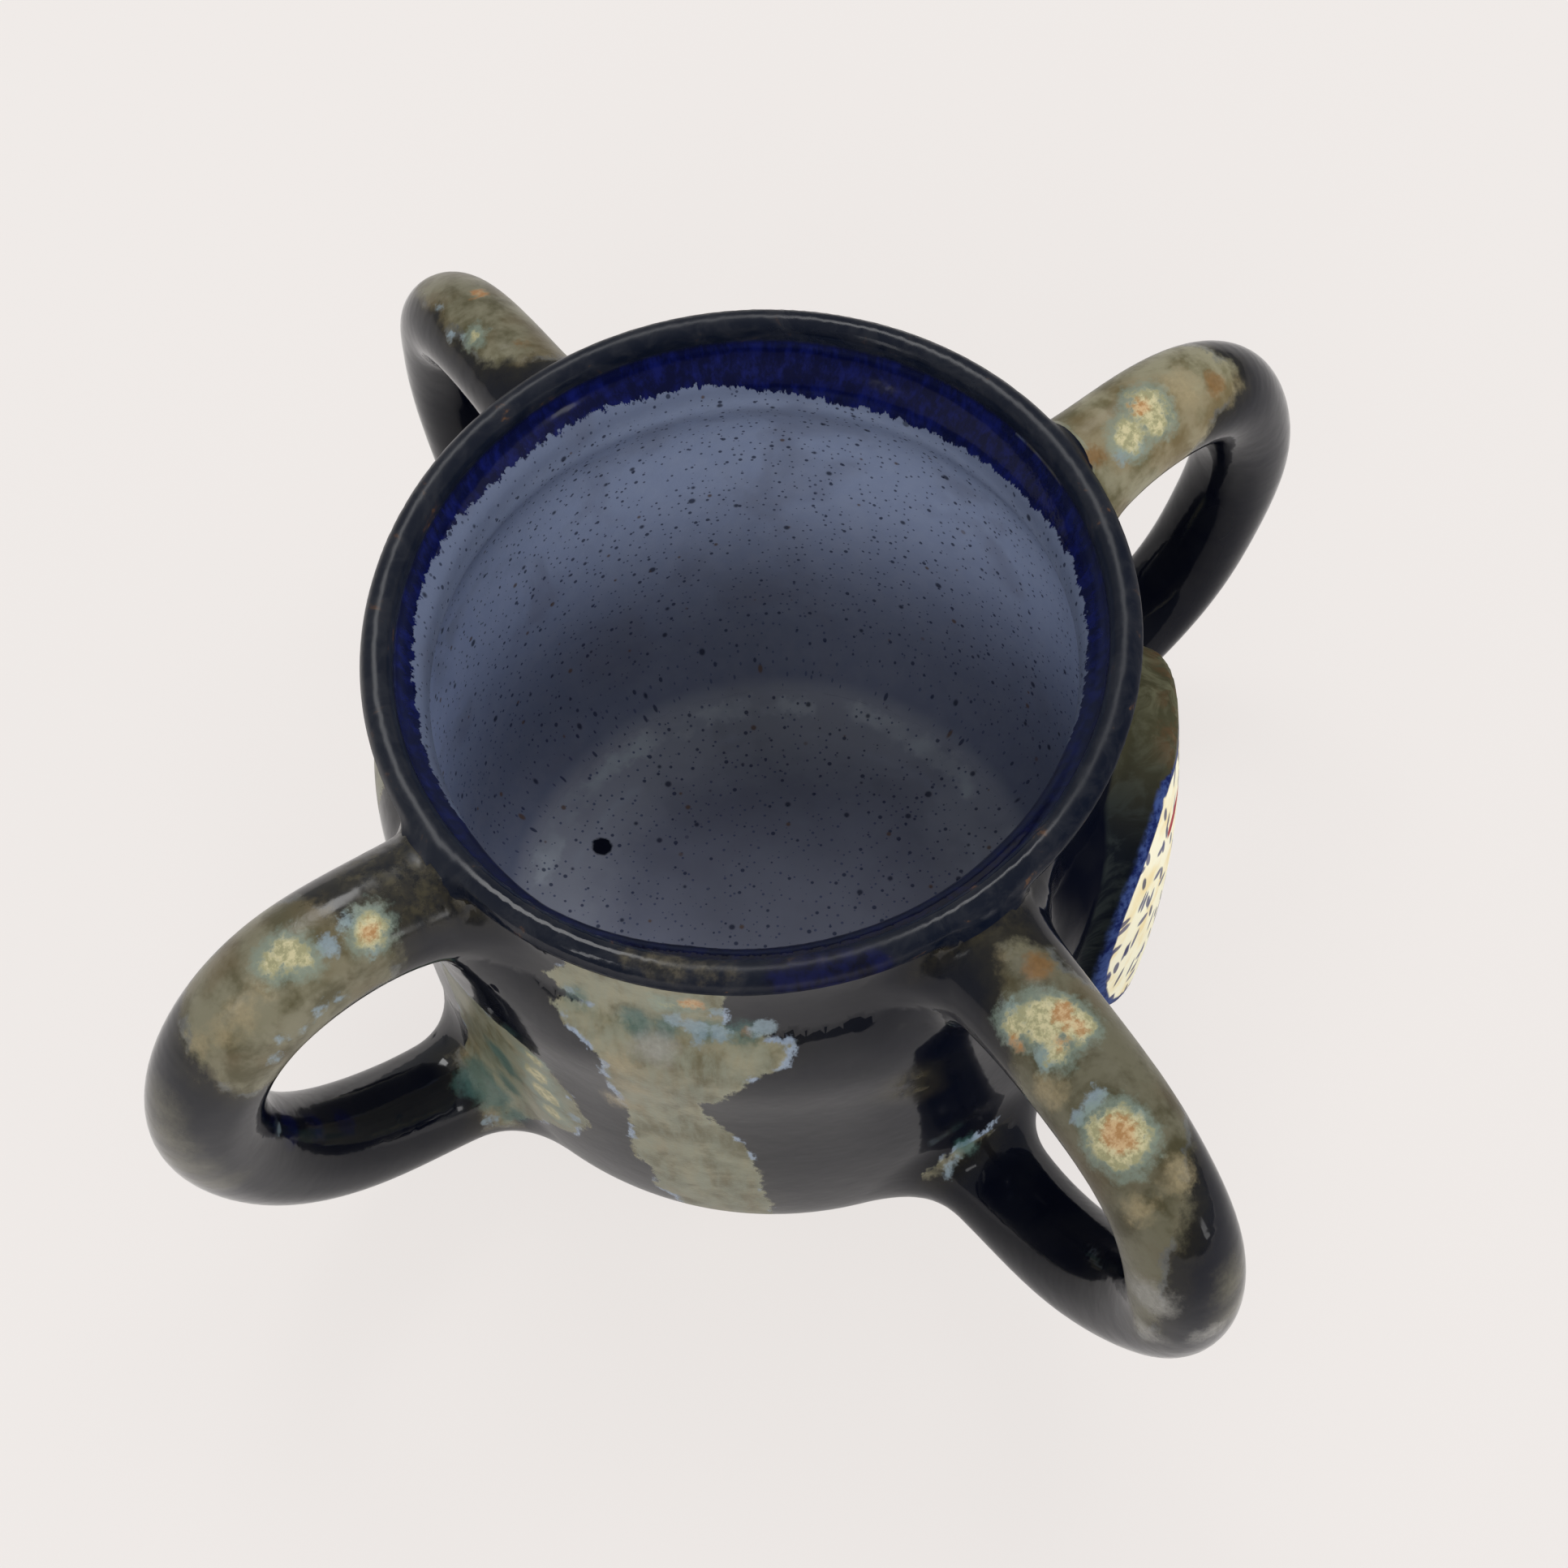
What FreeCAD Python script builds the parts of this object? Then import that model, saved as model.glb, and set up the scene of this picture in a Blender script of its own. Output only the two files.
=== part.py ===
import FreeCAD
import Part
import Sketcher
import os

# Four-handled mug, thrown and pulled by hand, one fired piece.
# Millimetres. The foot rests on z = 0 and the cup turns about +Z.
# The handles point to +X, +Y, -X and -Y, the medallion sits between +X and -Y.

V = FreeCAD.Vector

# name, value, what it is
CUP_SIZES = [
    ("FootRecess", 1.6, "depth of the hollow under the floor"),
    ("FootBevel", 1.4, "slope at the inside of the foot ring"),
    ("FootRadius", 39.6, "outer radius where the foot meets the table"),
    ("FootRing", 6.6, "width of the ring that the mug stands on"),
    ("HeelRadius", 44.6, "radius that rounds the foot into the wall"),
    ("HeelRise", 3.2, "height of that rounding"),
    ("LowerRadius", 46.8, "wall radius low down"),
    ("LowerHeight", 12.0, "height of the low station"),
    ("BellyRadius", 48.4, "wall radius at the lower belly"),
    ("BellyHeight", 28.0, "height of the lower belly"),
    ("WaistRadius", 48.2, "wall radius above the belly"),
    ("WaistHeight", 45.0, "height of that station"),
    ("ShoulderRadius", 50.6, "pole that swells the shoulder"),
    ("ShoulderHeight", 58.5, "height of the shoulder"),
    ("CreaseRadius", 46.4, "radius of the crease under the neck"),
    ("CreaseHeight", 63.5, "height of the crease"),
    ("NeckRadius", 45.9, "radius of the upright neck"),
    ("NeckLow", 67.0, "lower height of the neck"),
    ("NeckHigh", 71.5, "upper height of the neck"),
    ("LipRadius", 46.0, "radius to the middle of the rolled lip"),
    ("LipHeight", 76.2, "height of the middle of the rolled lip"),
    ("LipRoll", 2.0, "section radius of the rolled lip"),
    ("LipTuck", 0.6, "how far outside the middle the neck joins the roll"),
]

HOLLOW_SIZES = [
    ("ThroatRadius", 40.4, "pole of the narrowest place inside"),
    ("SlopeTop", 73.6, "height where the inner slope starts"),
    ("ThroatHigh", 71.2, "upper height of the throat"),
    ("ThroatLow", 65.5, "lower height of the throat"),
    ("ChamberUpper", 45.0, "inside radius under the throat"),
    ("ChamberUpperHeight", 59.5, "height of that station"),
    ("ChamberMiddle", 44.2, "inside radius half way down"),
    ("ChamberMiddleHeight", 38.0, "height of that station"),
    ("ChamberLower", 43.8, "inside radius low down"),
    ("ChamberLowerHeight", 17.5, "height of that station"),
    ("FloorCorner", 38.5, "radius of the corner pole at the floor"),
    ("FloorFlat", 26.0, "radius of the flat part of the floor"),
    ("FloorLift", 0.9, "rise of the corner pole over the floor"),
    ("FloorHeight", 8.0, "height of the inside floor"),
    ("CutAbove", 5.0, "how far the cut runs past the lip"),
]

ROOT_SIZES = [
    ("UpperSeat", 42.5, "radius where the upper handle roots start, inside the wall"),
    ("LowerSeat", 40.2, "radius where the lower handle roots start, inside the wall"),
    ("RootFlare", 1.12, "how much wider a handle is at its root than in its run"),
    ("LeanHeight", 39.0, "height about which a handle leans"),
]

# one row for each handle: azimuth and lean in degrees, then millimetres
HANDLE_WORDS = ["Azimuth", "Lean", "TopRoot", "CrownOut", "Crown", "Reach", "UpperBend",
                "LowerBend", "HeelOut", "Heel", "LowRoot", "Thick"]
HANDLES = {
    "Right": [2.5, -4.0, 66.0, 66.5, 76.8, 82.4, 57.6, 33.3, 69.0, 10.5, 11.8, 13.2],
    "Back": [88.1, 1.5, 67.1, 76.3, 69.1, 81.5, 48.9, 40.5, 74.0, 8.5, 11.6, 12.9],
    "Left": [180.8, 5.5, 65.7, 63.6, 77.5, 84.1, 65.9, 33.2, 65.6, 11.8, 9.4, 14.2],
    "Front": [267.8, -0.5, 67.0, 73.2, 71.0, 87.9, 59.8, 36.3, 63.2, 12.0, 11.8, 13.5],
}

MEDALLION_SIZES = [
    ("DiscAzimuth", -44.5, "direction of the medallion, degrees from +X"),
    ("DiscHeight", 41.0, "height of its middle"),
    ("DiscRadius", 23.2, "radius of the disc"),
    ("DiscSeat", 36.0, "radius inside the wall where the disc starts"),
    ("DiscFace", 50.7, "radius, from the axis of the cup, of the curved face at its edge"),
    ("DiscDome", 1.6, "how far the middle of the face stands over its edge"),
    ("DiscEdge", 1.0, "rounding of the edge of the face"),
    ("DiscSpare", 6.0, "how far the blank and its cut run past the face"),
]

doc = FreeCAD.newDocument("Mug")
sheet = doc.addObject("Spreadsheet::Sheet", "Sizes")
size = {}


def put_size(name, value, words):
    row = str(len(size) + 1)
    sheet.set("A" + row, name)
    sheet.set("B" + row, str(value))
    sheet.set("C" + row, words)
    sheet.setAlias("B" + row, name)
    size[name] = value


for group in (CUP_SIZES, HOLLOW_SIZES, ROOT_SIZES, MEDALLION_SIZES):
    for name, value, words in group:
        put_size(name, value, words)
for side, row in HANDLES.items():
    for word, value in zip(HANDLE_WORDS, row):
        put_size(side + word, value, word + " of the " + side.lower() + " handle")
doc.recompute()

body = doc.addObject("PartDesign::Body", "mug")
body.Label = "mug"
planes = {item.Role: item for item in body.Origin.OriginFeatures}


class Amount:
    """A sum of sizes: its number now and the formula that keeps it bound."""

    def __init__(self, **shares):
        self.number = shares.pop("plus", 0.0)
        self.formula = repr(self.number)
        for name, share in shares.items():
            self.number += share * size[name]
            self.formula += " + " + repr(float(share)) + " * Sizes." + name


def only(name):
    return Amount(**{name: 1})


def pin(sketch, item, corner, across, up, hold_across=True):
    """Holds one point of a sketch at two amounts, on an axis where one is None."""
    if across is None:
        sketch.addConstraint(Sketcher.Constraint("PointOnObject", item, corner, -2))
    elif hold_across:
        spot = sketch.addConstraint(
            Sketcher.Constraint("DistanceX", -1, 1, item, corner, across.number))
        sketch.setExpression("Constraints[%d]" % spot, across.formula)
    if up is None:
        sketch.addConstraint(Sketcher.Constraint("PointOnObject", item, corner, -1))
    else:
        spot = sketch.addConstraint(
            Sketcher.Constraint("DistanceY", -1, 1, item, corner, up.number))
        sketch.setExpression("Constraints[%d]" % spot, up.formula)


def place(across, up):
    """The present position of a point given by two amounts."""
    return V(across.number if across else 0.0, up.number if up else 0.0, 0)


def straight(sketch, start, end):
    return sketch.addGeometry(Part.LineSegment(place(*start), place(*end)), False)


def smooth(sketch, stations, free=()):
    """A clamped cubic curve with its poles at the stations, the free ones left unheld."""
    inner = len(stations) - 4
    knots = [step / float(inner + 1) for step in range(inner + 2)]
    turns = [4] + [1] * inner + [4]
    curve = Part.BSplineCurve()
    curve.buildFromPolesMultsKnots([place(*spot) for spot in stations], turns, knots, False, 3)
    item = sketch.addGeometry(curve, False)
    sketch.exposeInternalGeometry(item)
    for number, spot in enumerate(stations):
        if number not in free:
            pin(sketch, item + 1 + number, 3, *spot)
    return item


def join(sketch, one, one_end, two, two_end):
    sketch.addConstraint(Sketcher.Constraint("Coincident", one, one_end, two, two_end))


def circle(sketch, wide):
    """A circle about the origin of a sketch, its radius bound to an amount."""
    item = sketch.addGeometry(Part.Circle(V(0, 0, 0), V(0, 0, 1), wide.number), False)
    sketch.addConstraint(Sketcher.Constraint("Coincident", item, 3, -1, 1))
    spot = sketch.addConstraint(Sketcher.Constraint("Radius", item, wide.number))
    sketch.setExpression("Constraints[%d]" % spot, wide.formula)


def upright_sketch(name, offset=None):
    """A sketch on the plane through X and Z, turned or moved by a formula."""
    sketch = body.newObject("Sketcher::SketchObject", name)
    sketch.AttachmentSupport = [(planes["XZ_Plane"], "")]
    sketch.MapMode = "FlatFace"
    if offset:
        sketch.setExpression("AttachmentOffset", offset)
    return sketch


# The cup as a solid of revolution, still without its hollow.
profile = upright_sketch("CupProfile")
axis_low = (None, only("FootRecess"))
recess_edge = (Amount(FootRadius=1, FootRing=-1, FootBevel=-1), only("FootRecess"))
foot_inside = (Amount(FootRadius=1, FootRing=-1), None)
foot_outside = (only("FootRadius"), None)
crease = (only("CreaseRadius"), only("CreaseHeight"))
lip_top = (only("LipRadius"), Amount(LipHeight=1, LipRoll=1))
axis_high = (None, Amount(LipHeight=1, LipRoll=1))

under = straight(profile, axis_low, recess_edge)
bevel = straight(profile, recess_edge, foot_inside)
ring = straight(profile, foot_inside, foot_outside)
wall = smooth(profile, [
    foot_outside,
    (only("HeelRadius"), only("HeelRise")),
    (only("LowerRadius"), only("LowerHeight")),
    (only("BellyRadius"), only("BellyHeight")),
    (only("WaistRadius"), only("WaistHeight")),
    (only("ShoulderRadius"), only("ShoulderHeight")),
    crease,
])

lip_middle = V(size["LipRadius"], size["LipHeight"], 0)
roll = size["LipRoll"]
tuck = size["LipTuck"]
tuck_drop = (roll * roll - tuck * tuck) ** 0.5
tuck_angle = V(1, 0, 0).getAngle(V(tuck, -tuck_drop, 0))
quarter = V(1, 0, 0).getAngle(V(0, 1, 0))
neck = smooth(profile, [
    crease,
    (only("NeckRadius"), only("NeckLow")),
    (only("NeckRadius"), only("NeckHigh")),
    (Amount(LipRadius=1, LipTuck=0.3), Amount(LipHeight=1, LipRoll=-1)),
    (Amount(LipRadius=1, LipTuck=1), Amount(LipHeight=1, plus=-tuck_drop)),
], free=(0, 4))
lip = profile.addGeometry(
    Part.ArcOfCircle(Part.Circle(lip_middle, V(0, 0, 1), roll), -tuck_angle, quarter), False)
cover = straight(profile, lip_top, axis_high)
spindle = straight(profile, axis_high, axis_low)

pin(profile, under, 1, *axis_low)
pin(profile, under, 2, *recess_edge)
pin(profile, ring, 1, *foot_inside)
join(profile, under, 2, bevel, 1)
join(profile, bevel, 2, ring, 1)
join(profile, ring, 2, wall, 1)
join(profile, wall, 2, neck, 1)
join(profile, neck, 2, lip, 1)
pin(profile, lip, 3, only("LipRadius"), only("LipHeight"))
spot = profile.addConstraint(Sketcher.Constraint("Radius", lip, roll))
profile.setExpression("Constraints[%d]" % spot, "Sizes.LipRoll")
spot = profile.addConstraint(
    Sketcher.Constraint("DistanceX", -1, 1, lip, 1, size["LipRadius"] + tuck))
profile.setExpression("Constraints[%d]" % spot, "Sizes.LipRadius + Sizes.LipTuck")
spot = profile.addConstraint(Sketcher.Constraint("DistanceX", -1, 1, lip, 2, size["LipRadius"]))
profile.setExpression("Constraints[%d]" % spot, "Sizes.LipRadius")
join(profile, lip, 2, cover, 1)
profile.addConstraint(Sketcher.Constraint("Horizontal", cover))
join(profile, cover, 2, spindle, 1)
join(profile, spindle, 2, under, 1)
profile.addConstraint(Sketcher.Constraint("Vertical", spindle))
doc.recompute()

cup = body.newObject("PartDesign::Revolution", "Cup")
cup.Profile = profile
cup.ReferenceAxis = (profile, ["V_Axis"])
cup.Angle = 360
doc.recompute()


# The applied medallion: a round pad pressed to the wall, its face turned to follow the cup.
outline = body.newObject("Sketcher::SketchObject", "MedallionOutline")
outline.AttachmentSupport = [(planes["YZ_Plane"], "")]
outline.MapMode = "FlatFace"
outline.setExpression("AttachmentOffset", (
    "placement(vector(0; 0; 0); rotation(vector(0; 1; 0); Sizes.DiscAzimuth))"
    " * placement(vector(0; Sizes.DiscHeight; Sizes.DiscSeat); rotation(vector(0; 1; 0); 0))"))
circle(outline, only("DiscRadius"))
doc.recompute()
blank = body.newObject("PartDesign::Pad", "MedallionBlank")
blank.Profile = outline
blank.setExpression("Length", "Sizes.DiscFace + Sizes.DiscSpare - Sizes.DiscSeat")
doc.recompute()

turning = upright_sketch("MedallionFaceProfile")
low = Amount(DiscHeight=1, DiscRadius=-1)
high = Amount(DiscHeight=1, DiscRadius=1)
below = Amount(DiscHeight=1, DiscRadius=-1, DiscSpare=-1)
above = Amount(DiscHeight=1, DiscRadius=1, DiscSpare=1)
# half a disc radius takes the cut past the corners of the blank
clear = Amount(DiscFace=1, DiscSpare=1, DiscRadius=0.5)
# a cubic reaches three quarters of the way to its two middle poles
crown = Amount(DiscFace=1, DiscDome=4 / 3)
face = smooth(turning, [
    (only("DiscFace"), low),
    (crown, Amount(DiscHeight=1, DiscRadius=-0.4)),
    (crown, Amount(DiscHeight=1, DiscRadius=0.4)),
    (only("DiscFace"), high),
])
leave = straight(turning, (only("DiscFace"), high), (only("DiscFace"), above))
over = straight(turning, (only("DiscFace"), above), (clear, above))
outside = straight(turning, (clear, above), (clear, below))
beneath = straight(turning, (clear, below), (only("DiscFace"), below))
enter = straight(turning, (only("DiscFace"), below), (only("DiscFace"), low))
pin(turning, leave, 2, only("DiscFace"), above)
pin(turning, outside, 1, clear, above)
pin(turning, outside, 2, clear, below)
pin(turning, enter, 1, only("DiscFace"), below)
join(turning, face, 2, leave, 1)
join(turning, leave, 2, over, 1)
join(turning, over, 2, outside, 1)
join(turning, outside, 2, beneath, 1)
join(turning, beneath, 2, enter, 1)
join(turning, enter, 2, face, 1)
doc.recompute()
turned = body.newObject("PartDesign::Groove", "MedallionFace")
turned.Profile = turning
turned.ReferenceAxis = (turning, ["V_Axis"])
turned.Angle = 360
doc.recompute()


def far_edges(shape, radius):
    """Names of the edges that lie wholly further from the axis than this."""
    names = []
    for number, edge in enumerate(shape.Edges):
        spots = edge.discretize(9)
        if all((spot.x * spot.x + spot.y * spot.y) ** 0.5 > radius for spot in spots):
            names.append("Edge%d" % (number + 1))
    return names


rim = body.newObject("PartDesign::Fillet", "MedallionRim")
rim.Base = (turned, far_edges(turned.Shape, size["DiscFace"] - size["DiscEdge"] / 2))
rim.setExpression("Radius", "Sizes.DiscEdge")
doc.recompute()


# The pulled handles: round section, wider where each root is pressed to the wall.
def handle_plane(side):
    turn = "placement(vector(0; 0; 0); rotation(vector(0; 1; 0); Sizes." + side + "Azimuth))"
    lean = ("placement(vector(0; Sizes.LeanHeight; 0); rotation(vector(1; 0; 0); -Sizes."
            + side + "Lean))")
    back = "placement(vector(0; -Sizes.LeanHeight; 0); rotation(vector(1; 0; 0); 0))"
    return turn + " * " + lean + " * " + back


def section(name, spine, share, wide):
    """A circle square to the spine, at a share of its length."""
    sketch = body.newObject("Sketcher::SketchObject", name)
    sketch.AttachmentSupport = [(spine, "Edge1")]
    sketch.MapMode = "NormalToEdge"
    sketch.MapPathParameter = share
    circle(sketch, wide)
    return sketch


class Flared(Amount):
    """Half the thickness of a handle, times a share of the flare."""

    def __init__(self, side, share):
        factor = 1 + share * (size["RootFlare"] - 1)
        self.number = size[side + "Thick"] / 2 * factor
        self.formula = ("Sizes." + side + "Thick / 2 * (1 + " + repr(share)
                        + " * (Sizes.RootFlare - 1))")


for side in HANDLES:
    spine = upright_sketch(side + "Run", handle_plane(side))
    smooth(spine, [
        (only("UpperSeat"), only(side + "TopRoot")),
        (only(side + "CrownOut"), only(side + "Crown")),
        (only(side + "Reach"), only(side + "UpperBend")),
        (only(side + "Reach"), only(side + "LowerBend")),
        (only(side + "HeelOut"), only(side + "Heel")),
        (only("LowerSeat"), only(side + "LowRoot")),
    ])
    doc.recompute()
    rings = []
    for number, (share, flare) in enumerate(
            [(0.0, 1.0), (0.14, 0.0), (0.5, 0.0), (0.86, 0.0), (1.0, 1.0)]):
        rings.append(section(side + "Ring%d" % number, spine, share, Flared(side, flare)))
    doc.recompute()
    handle = body.newObject("PartDesign::AdditivePipe", side + "Handle")
    handle.Profile = rings[0]
    handle.Spine = (spine, ["Edge1"])
    handle.Sections = [(ring, [""]) for ring in rings[1:]]
    handle.Transformation = "Multisection"
    doc.recompute()

# The hollow is cut last, so that no root reaches into it.
hollow_profile = upright_sketch("HollowProfile")
high = (None, Amount(LipHeight=1, LipRoll=1, CutAbove=1))
high_side = (only("LipRadius"), Amount(LipHeight=1, LipRoll=1, CutAbove=1))
slope_top = (Amount(LipRadius=1, LipRoll=-1), only("LipHeight"))
floor_edge = (only("FloorFlat"), only("FloorHeight"))
floor_middle = (None, only("FloorHeight"))
top_line = straight(hollow_profile, high, high_side)
side_line = straight(hollow_profile, high_side, lip_top)
inner_roll = hollow_profile.addGeometry(
    Part.ArcOfCircle(Part.Circle(lip_middle, V(0, 0, 1), roll), quarter, 2 * quarter), False)
inside = smooth(hollow_profile, [
    slope_top,
    (Amount(LipRadius=1, LipRoll=-1), only("SlopeTop")),
    (only("ThroatRadius"), only("ThroatHigh")),
    (only("ThroatRadius"), only("ThroatLow")),
    (only("ChamberUpper"), only("ChamberUpperHeight")),
    (only("ChamberMiddle"), only("ChamberMiddleHeight")),
    (only("ChamberLower"), only("ChamberLowerHeight")),
    (only("FloorCorner"), Amount(FloorHeight=1, FloorLift=1)),
    floor_edge,
], free=(0,))
pin(hollow_profile, inside + 1, 3, *slope_top, hold_across=False)
floor_line = straight(hollow_profile, floor_edge, floor_middle)
core_line = straight(hollow_profile, floor_middle, high)
pin(hollow_profile, top_line, 1, *high)
pin(hollow_profile, top_line, 2, *high_side)
pin(hollow_profile, inner_roll, 3, only("LipRadius"), only("LipHeight"))
spot = hollow_profile.addConstraint(Sketcher.Constraint("Radius", inner_roll, roll))
hollow_profile.setExpression("Constraints[%d]" % spot, "Sizes.LipRoll")
join(hollow_profile, top_line, 2, side_line, 1)
hollow_profile.addConstraint(Sketcher.Constraint("Vertical", side_line))
join(hollow_profile, side_line, 2, inner_roll, 1)
join(hollow_profile, inner_roll, 2, inside, 1)
join(hollow_profile, inside, 2, floor_line, 1)
pin(hollow_profile, floor_line, 2, *floor_middle)
join(hollow_profile, floor_line, 2, core_line, 1)
join(hollow_profile, core_line, 2, top_line, 1)
doc.recompute()
hollow = body.newObject("PartDesign::Groove", "Hollow")
hollow.Profile = hollow_profile
hollow.ReferenceAxis = (hollow_profile, ["V_Axis"])
hollow.Angle = 360
doc.recompute()

for item in doc.Objects:
    if "Invalid" in item.State or "Error" in item.State:
        raise RuntimeError(item.Name + " did not build")
    shape = getattr(item, "Shape", None)
    if shape is not None and item.isDerivedFrom("PartDesign::Feature"):
        if shape.isNull() or not shape.isValid():
            raise RuntimeError(item.Name + " has no sound shape")
if len(body.Shape.Solids) != 1:
    raise RuntimeError("the mug is not one solid")

os.makedirs("parts", exist_ok=True)
body.Shape.exportStep("parts/mug.step")
print("mug", body.Shape.BoundBox, "volume", round(body.Shape.Volume))
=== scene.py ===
import bpy
import math
import numpy as np
from mathutils import Matrix, Vector


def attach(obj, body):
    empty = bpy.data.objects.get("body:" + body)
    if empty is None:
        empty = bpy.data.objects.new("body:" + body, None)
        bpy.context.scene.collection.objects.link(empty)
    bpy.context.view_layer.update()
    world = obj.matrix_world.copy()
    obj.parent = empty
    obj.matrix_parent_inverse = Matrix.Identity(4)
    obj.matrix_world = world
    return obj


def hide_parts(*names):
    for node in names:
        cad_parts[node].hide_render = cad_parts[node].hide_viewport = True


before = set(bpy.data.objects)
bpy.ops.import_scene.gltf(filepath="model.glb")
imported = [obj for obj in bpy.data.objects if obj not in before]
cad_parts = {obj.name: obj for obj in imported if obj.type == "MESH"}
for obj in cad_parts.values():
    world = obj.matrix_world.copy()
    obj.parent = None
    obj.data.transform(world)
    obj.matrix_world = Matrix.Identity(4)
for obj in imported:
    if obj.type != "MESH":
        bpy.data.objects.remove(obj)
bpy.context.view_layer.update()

# All shape work below is in millimetres in the row frame, turned to metres at the end.
MM = 0.001

# How much of the table's tone is even, and how bright the room is.
EVEN_SHARE = 0.86
GLAZE_SHARE = 0.12

# The camera, as solved for the photograph.
CAMERA_ELEVATION = 57.97
CAMERA_TURN = -32.7
CAMERA_ROLL = -3.32
CAMERA_DISTANCE = 338.9
LENS = 65.22
SENSOR = 36.0
FRAME_PIXELS = 1932
LIP_CENTRE_PIXEL = (935.5, 775.6)
PICTURE_CENTRE_PIXEL = (966.0, 966.0)

# Outer form of the cup: poles of its wall and neck, radius and height.
WALL_POLES = [(39.6, 0.0), (44.6, 3.2), (46.8, 12.0), (48.4, 28.0), (48.2, 45.0), (50.6, 58.5), (46.4, 63.5)]
NECK_POLES = [(46.4, 63.5), (45.9, 67.0), (45.9, 71.5), (46.2, 74.2), (46.6, 74.3)]
LIP_RADIUS = 46.0
LIP_HEIGHT = 76.2
LIP_ROLL = 2.0
FOOT_INNER = 33.0
FOOT_RECESS = 1.6
# Inner form: from the lip through the throat to the floor.
HOLLOW_POLES = [(44.0, 76.2), (44.0, 73.6), (40.4, 71.2), (40.4, 65.5), (45.0, 59.5), (44.2, 38.0),
                (43.8, 17.5), (38.5, 8.9), (26.0, 8.0)]
FLOOR_HEIGHT = 8.0

# The mouth is not quite round and not quite over the foot.
OVAL_SHARE = 0.0288
OVAL_DIRECTION = 47.1
RIM_SHIFT = (-0.63, 0.85)

# The throat below the lip stands in a little on the front: azimuth in degrees and mm.
THROAT_PUSH = [(200, 0.0), (225, 1.7), (250, 1.7), (280, 1.2), (310, 0.0)]

# Handles: azimuth, lean, poles of the centre line (radius, height), thickness.
UPPER_SEAT = 42.5
LOWER_SEAT = 40.2
LEAN_HEIGHT = 39.0
HANDLES = {
    "right": dict(azimuth=2.5, lean=-4.0, top=66.0, crown=(66.5, 76.8), reach=82.4, bends=(57.6, 33.3),
                  heel=(69.0, 10.5), low=11.8, thick=13.2),
    "back": dict(azimuth=88.1, lean=1.5, top=67.1, crown=(76.3, 69.1), reach=81.5, bends=(48.9, 40.5),
                 heel=(74.0, 8.5), low=11.6, thick=12.9),
    "left": dict(azimuth=180.8, lean=5.5, top=65.7, crown=(63.6, 77.5), reach=84.1, bends=(65.9, 33.2),
                 heel=(65.6, 11.8), low=9.4, thick=14.2),
    "front": dict(azimuth=267.8, lean=-0.5, top=67.0, crown=(73.2, 71.0), reach=87.9, bends=(59.8, 36.3),
                  heel=(63.2, 12.0), low=11.8, thick=13.5),
}

# The medallion pressed on the wall, its face turned about the axis of the cup.
DISC_AZIMUTH = -44.5
DISC_HEIGHT = 41.0
DISC_RADIUS = 23.2
DISC_FACE = 50.7
DISC_DOME = 1.6
DISC_EDGE = 1.0

VOXEL = 1.0
MM_PER_DEGREE = 47.5 * math.pi / 180
# what the run from the lip counts as on the handles
FAR_RUN = 120.0


def smoothstep(low, high, value):
    share = np.clip((value - low) / (high - low), 0.0, 1.0)
    return share * share * (3.0 - 2.0 * share)


def smooth_union(one, other, width):
    share = np.clip(0.5 + 0.5 * (other - one) / width, 0.0, 1.0)
    return other * (1.0 - share) + one * share - width * share * (1.0 - share)


def clamped_curve(poles, count):
    """Points along a clamped cubic curve with these poles."""
    poles = np.array(poles, float)
    inner = len(poles) - 4
    knots = np.concatenate([np.zeros(4), (np.arange(inner) + 1.0) / (inner + 1), np.ones(4)])
    place = np.linspace(0.0, 1.0 - 1e-9, count)
    basis = [((place >= knots[i]) & (place < knots[i + 1])).astype(float) for i in range(len(knots) - 1)]
    for degree in (1, 2, 3):
        raised = []
        for i in range(len(basis) - 1):
            first = knots[i + degree] - knots[i]
            second = knots[i + degree + 1] - knots[i + 1]
            value = np.zeros(count)
            if first > 0:
                value = value + (place - knots[i]) / first * basis[i]
            if second > 0:
                value = value + (knots[i + degree + 1] - place) / second * basis[i + 1]
            raised.append(value)
        basis = raised
    return np.stack(basis, 1) @ poles


def lip_arc(start, end, count=16):
    angles = np.radians(np.linspace(start, end, count))
    return np.stack([LIP_RADIUS + LIP_ROLL * np.cos(angles), LIP_HEIGHT + LIP_ROLL * np.sin(angles)], 1)


OUTER = np.concatenate([clamped_curve(WALL_POLES, 90), clamped_curve(NECK_POLES, 30)[1:], lip_arc(-68, 90)])
INNER = np.concatenate([lip_arc(90, 180), clamped_curve(HOLLOW_POLES, 120)[1:]])
CUP_OUTLINE = np.concatenate([[(0.0, FOOT_RECESS), (FOOT_INNER - 1.4, FOOT_RECESS), (FOOT_INNER, 0.0)],
                              OUTER, INNER[1:], [(0.0, FLOOR_HEIGHT)]])

# Signed distance to the cup's section, kept on a fine grid of radius and height.
GRID_STEP = 0.25
GRID_RADIUS = 62.0
GRID_LOW = -6.0
GRID_HIGH = 90.0


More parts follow.
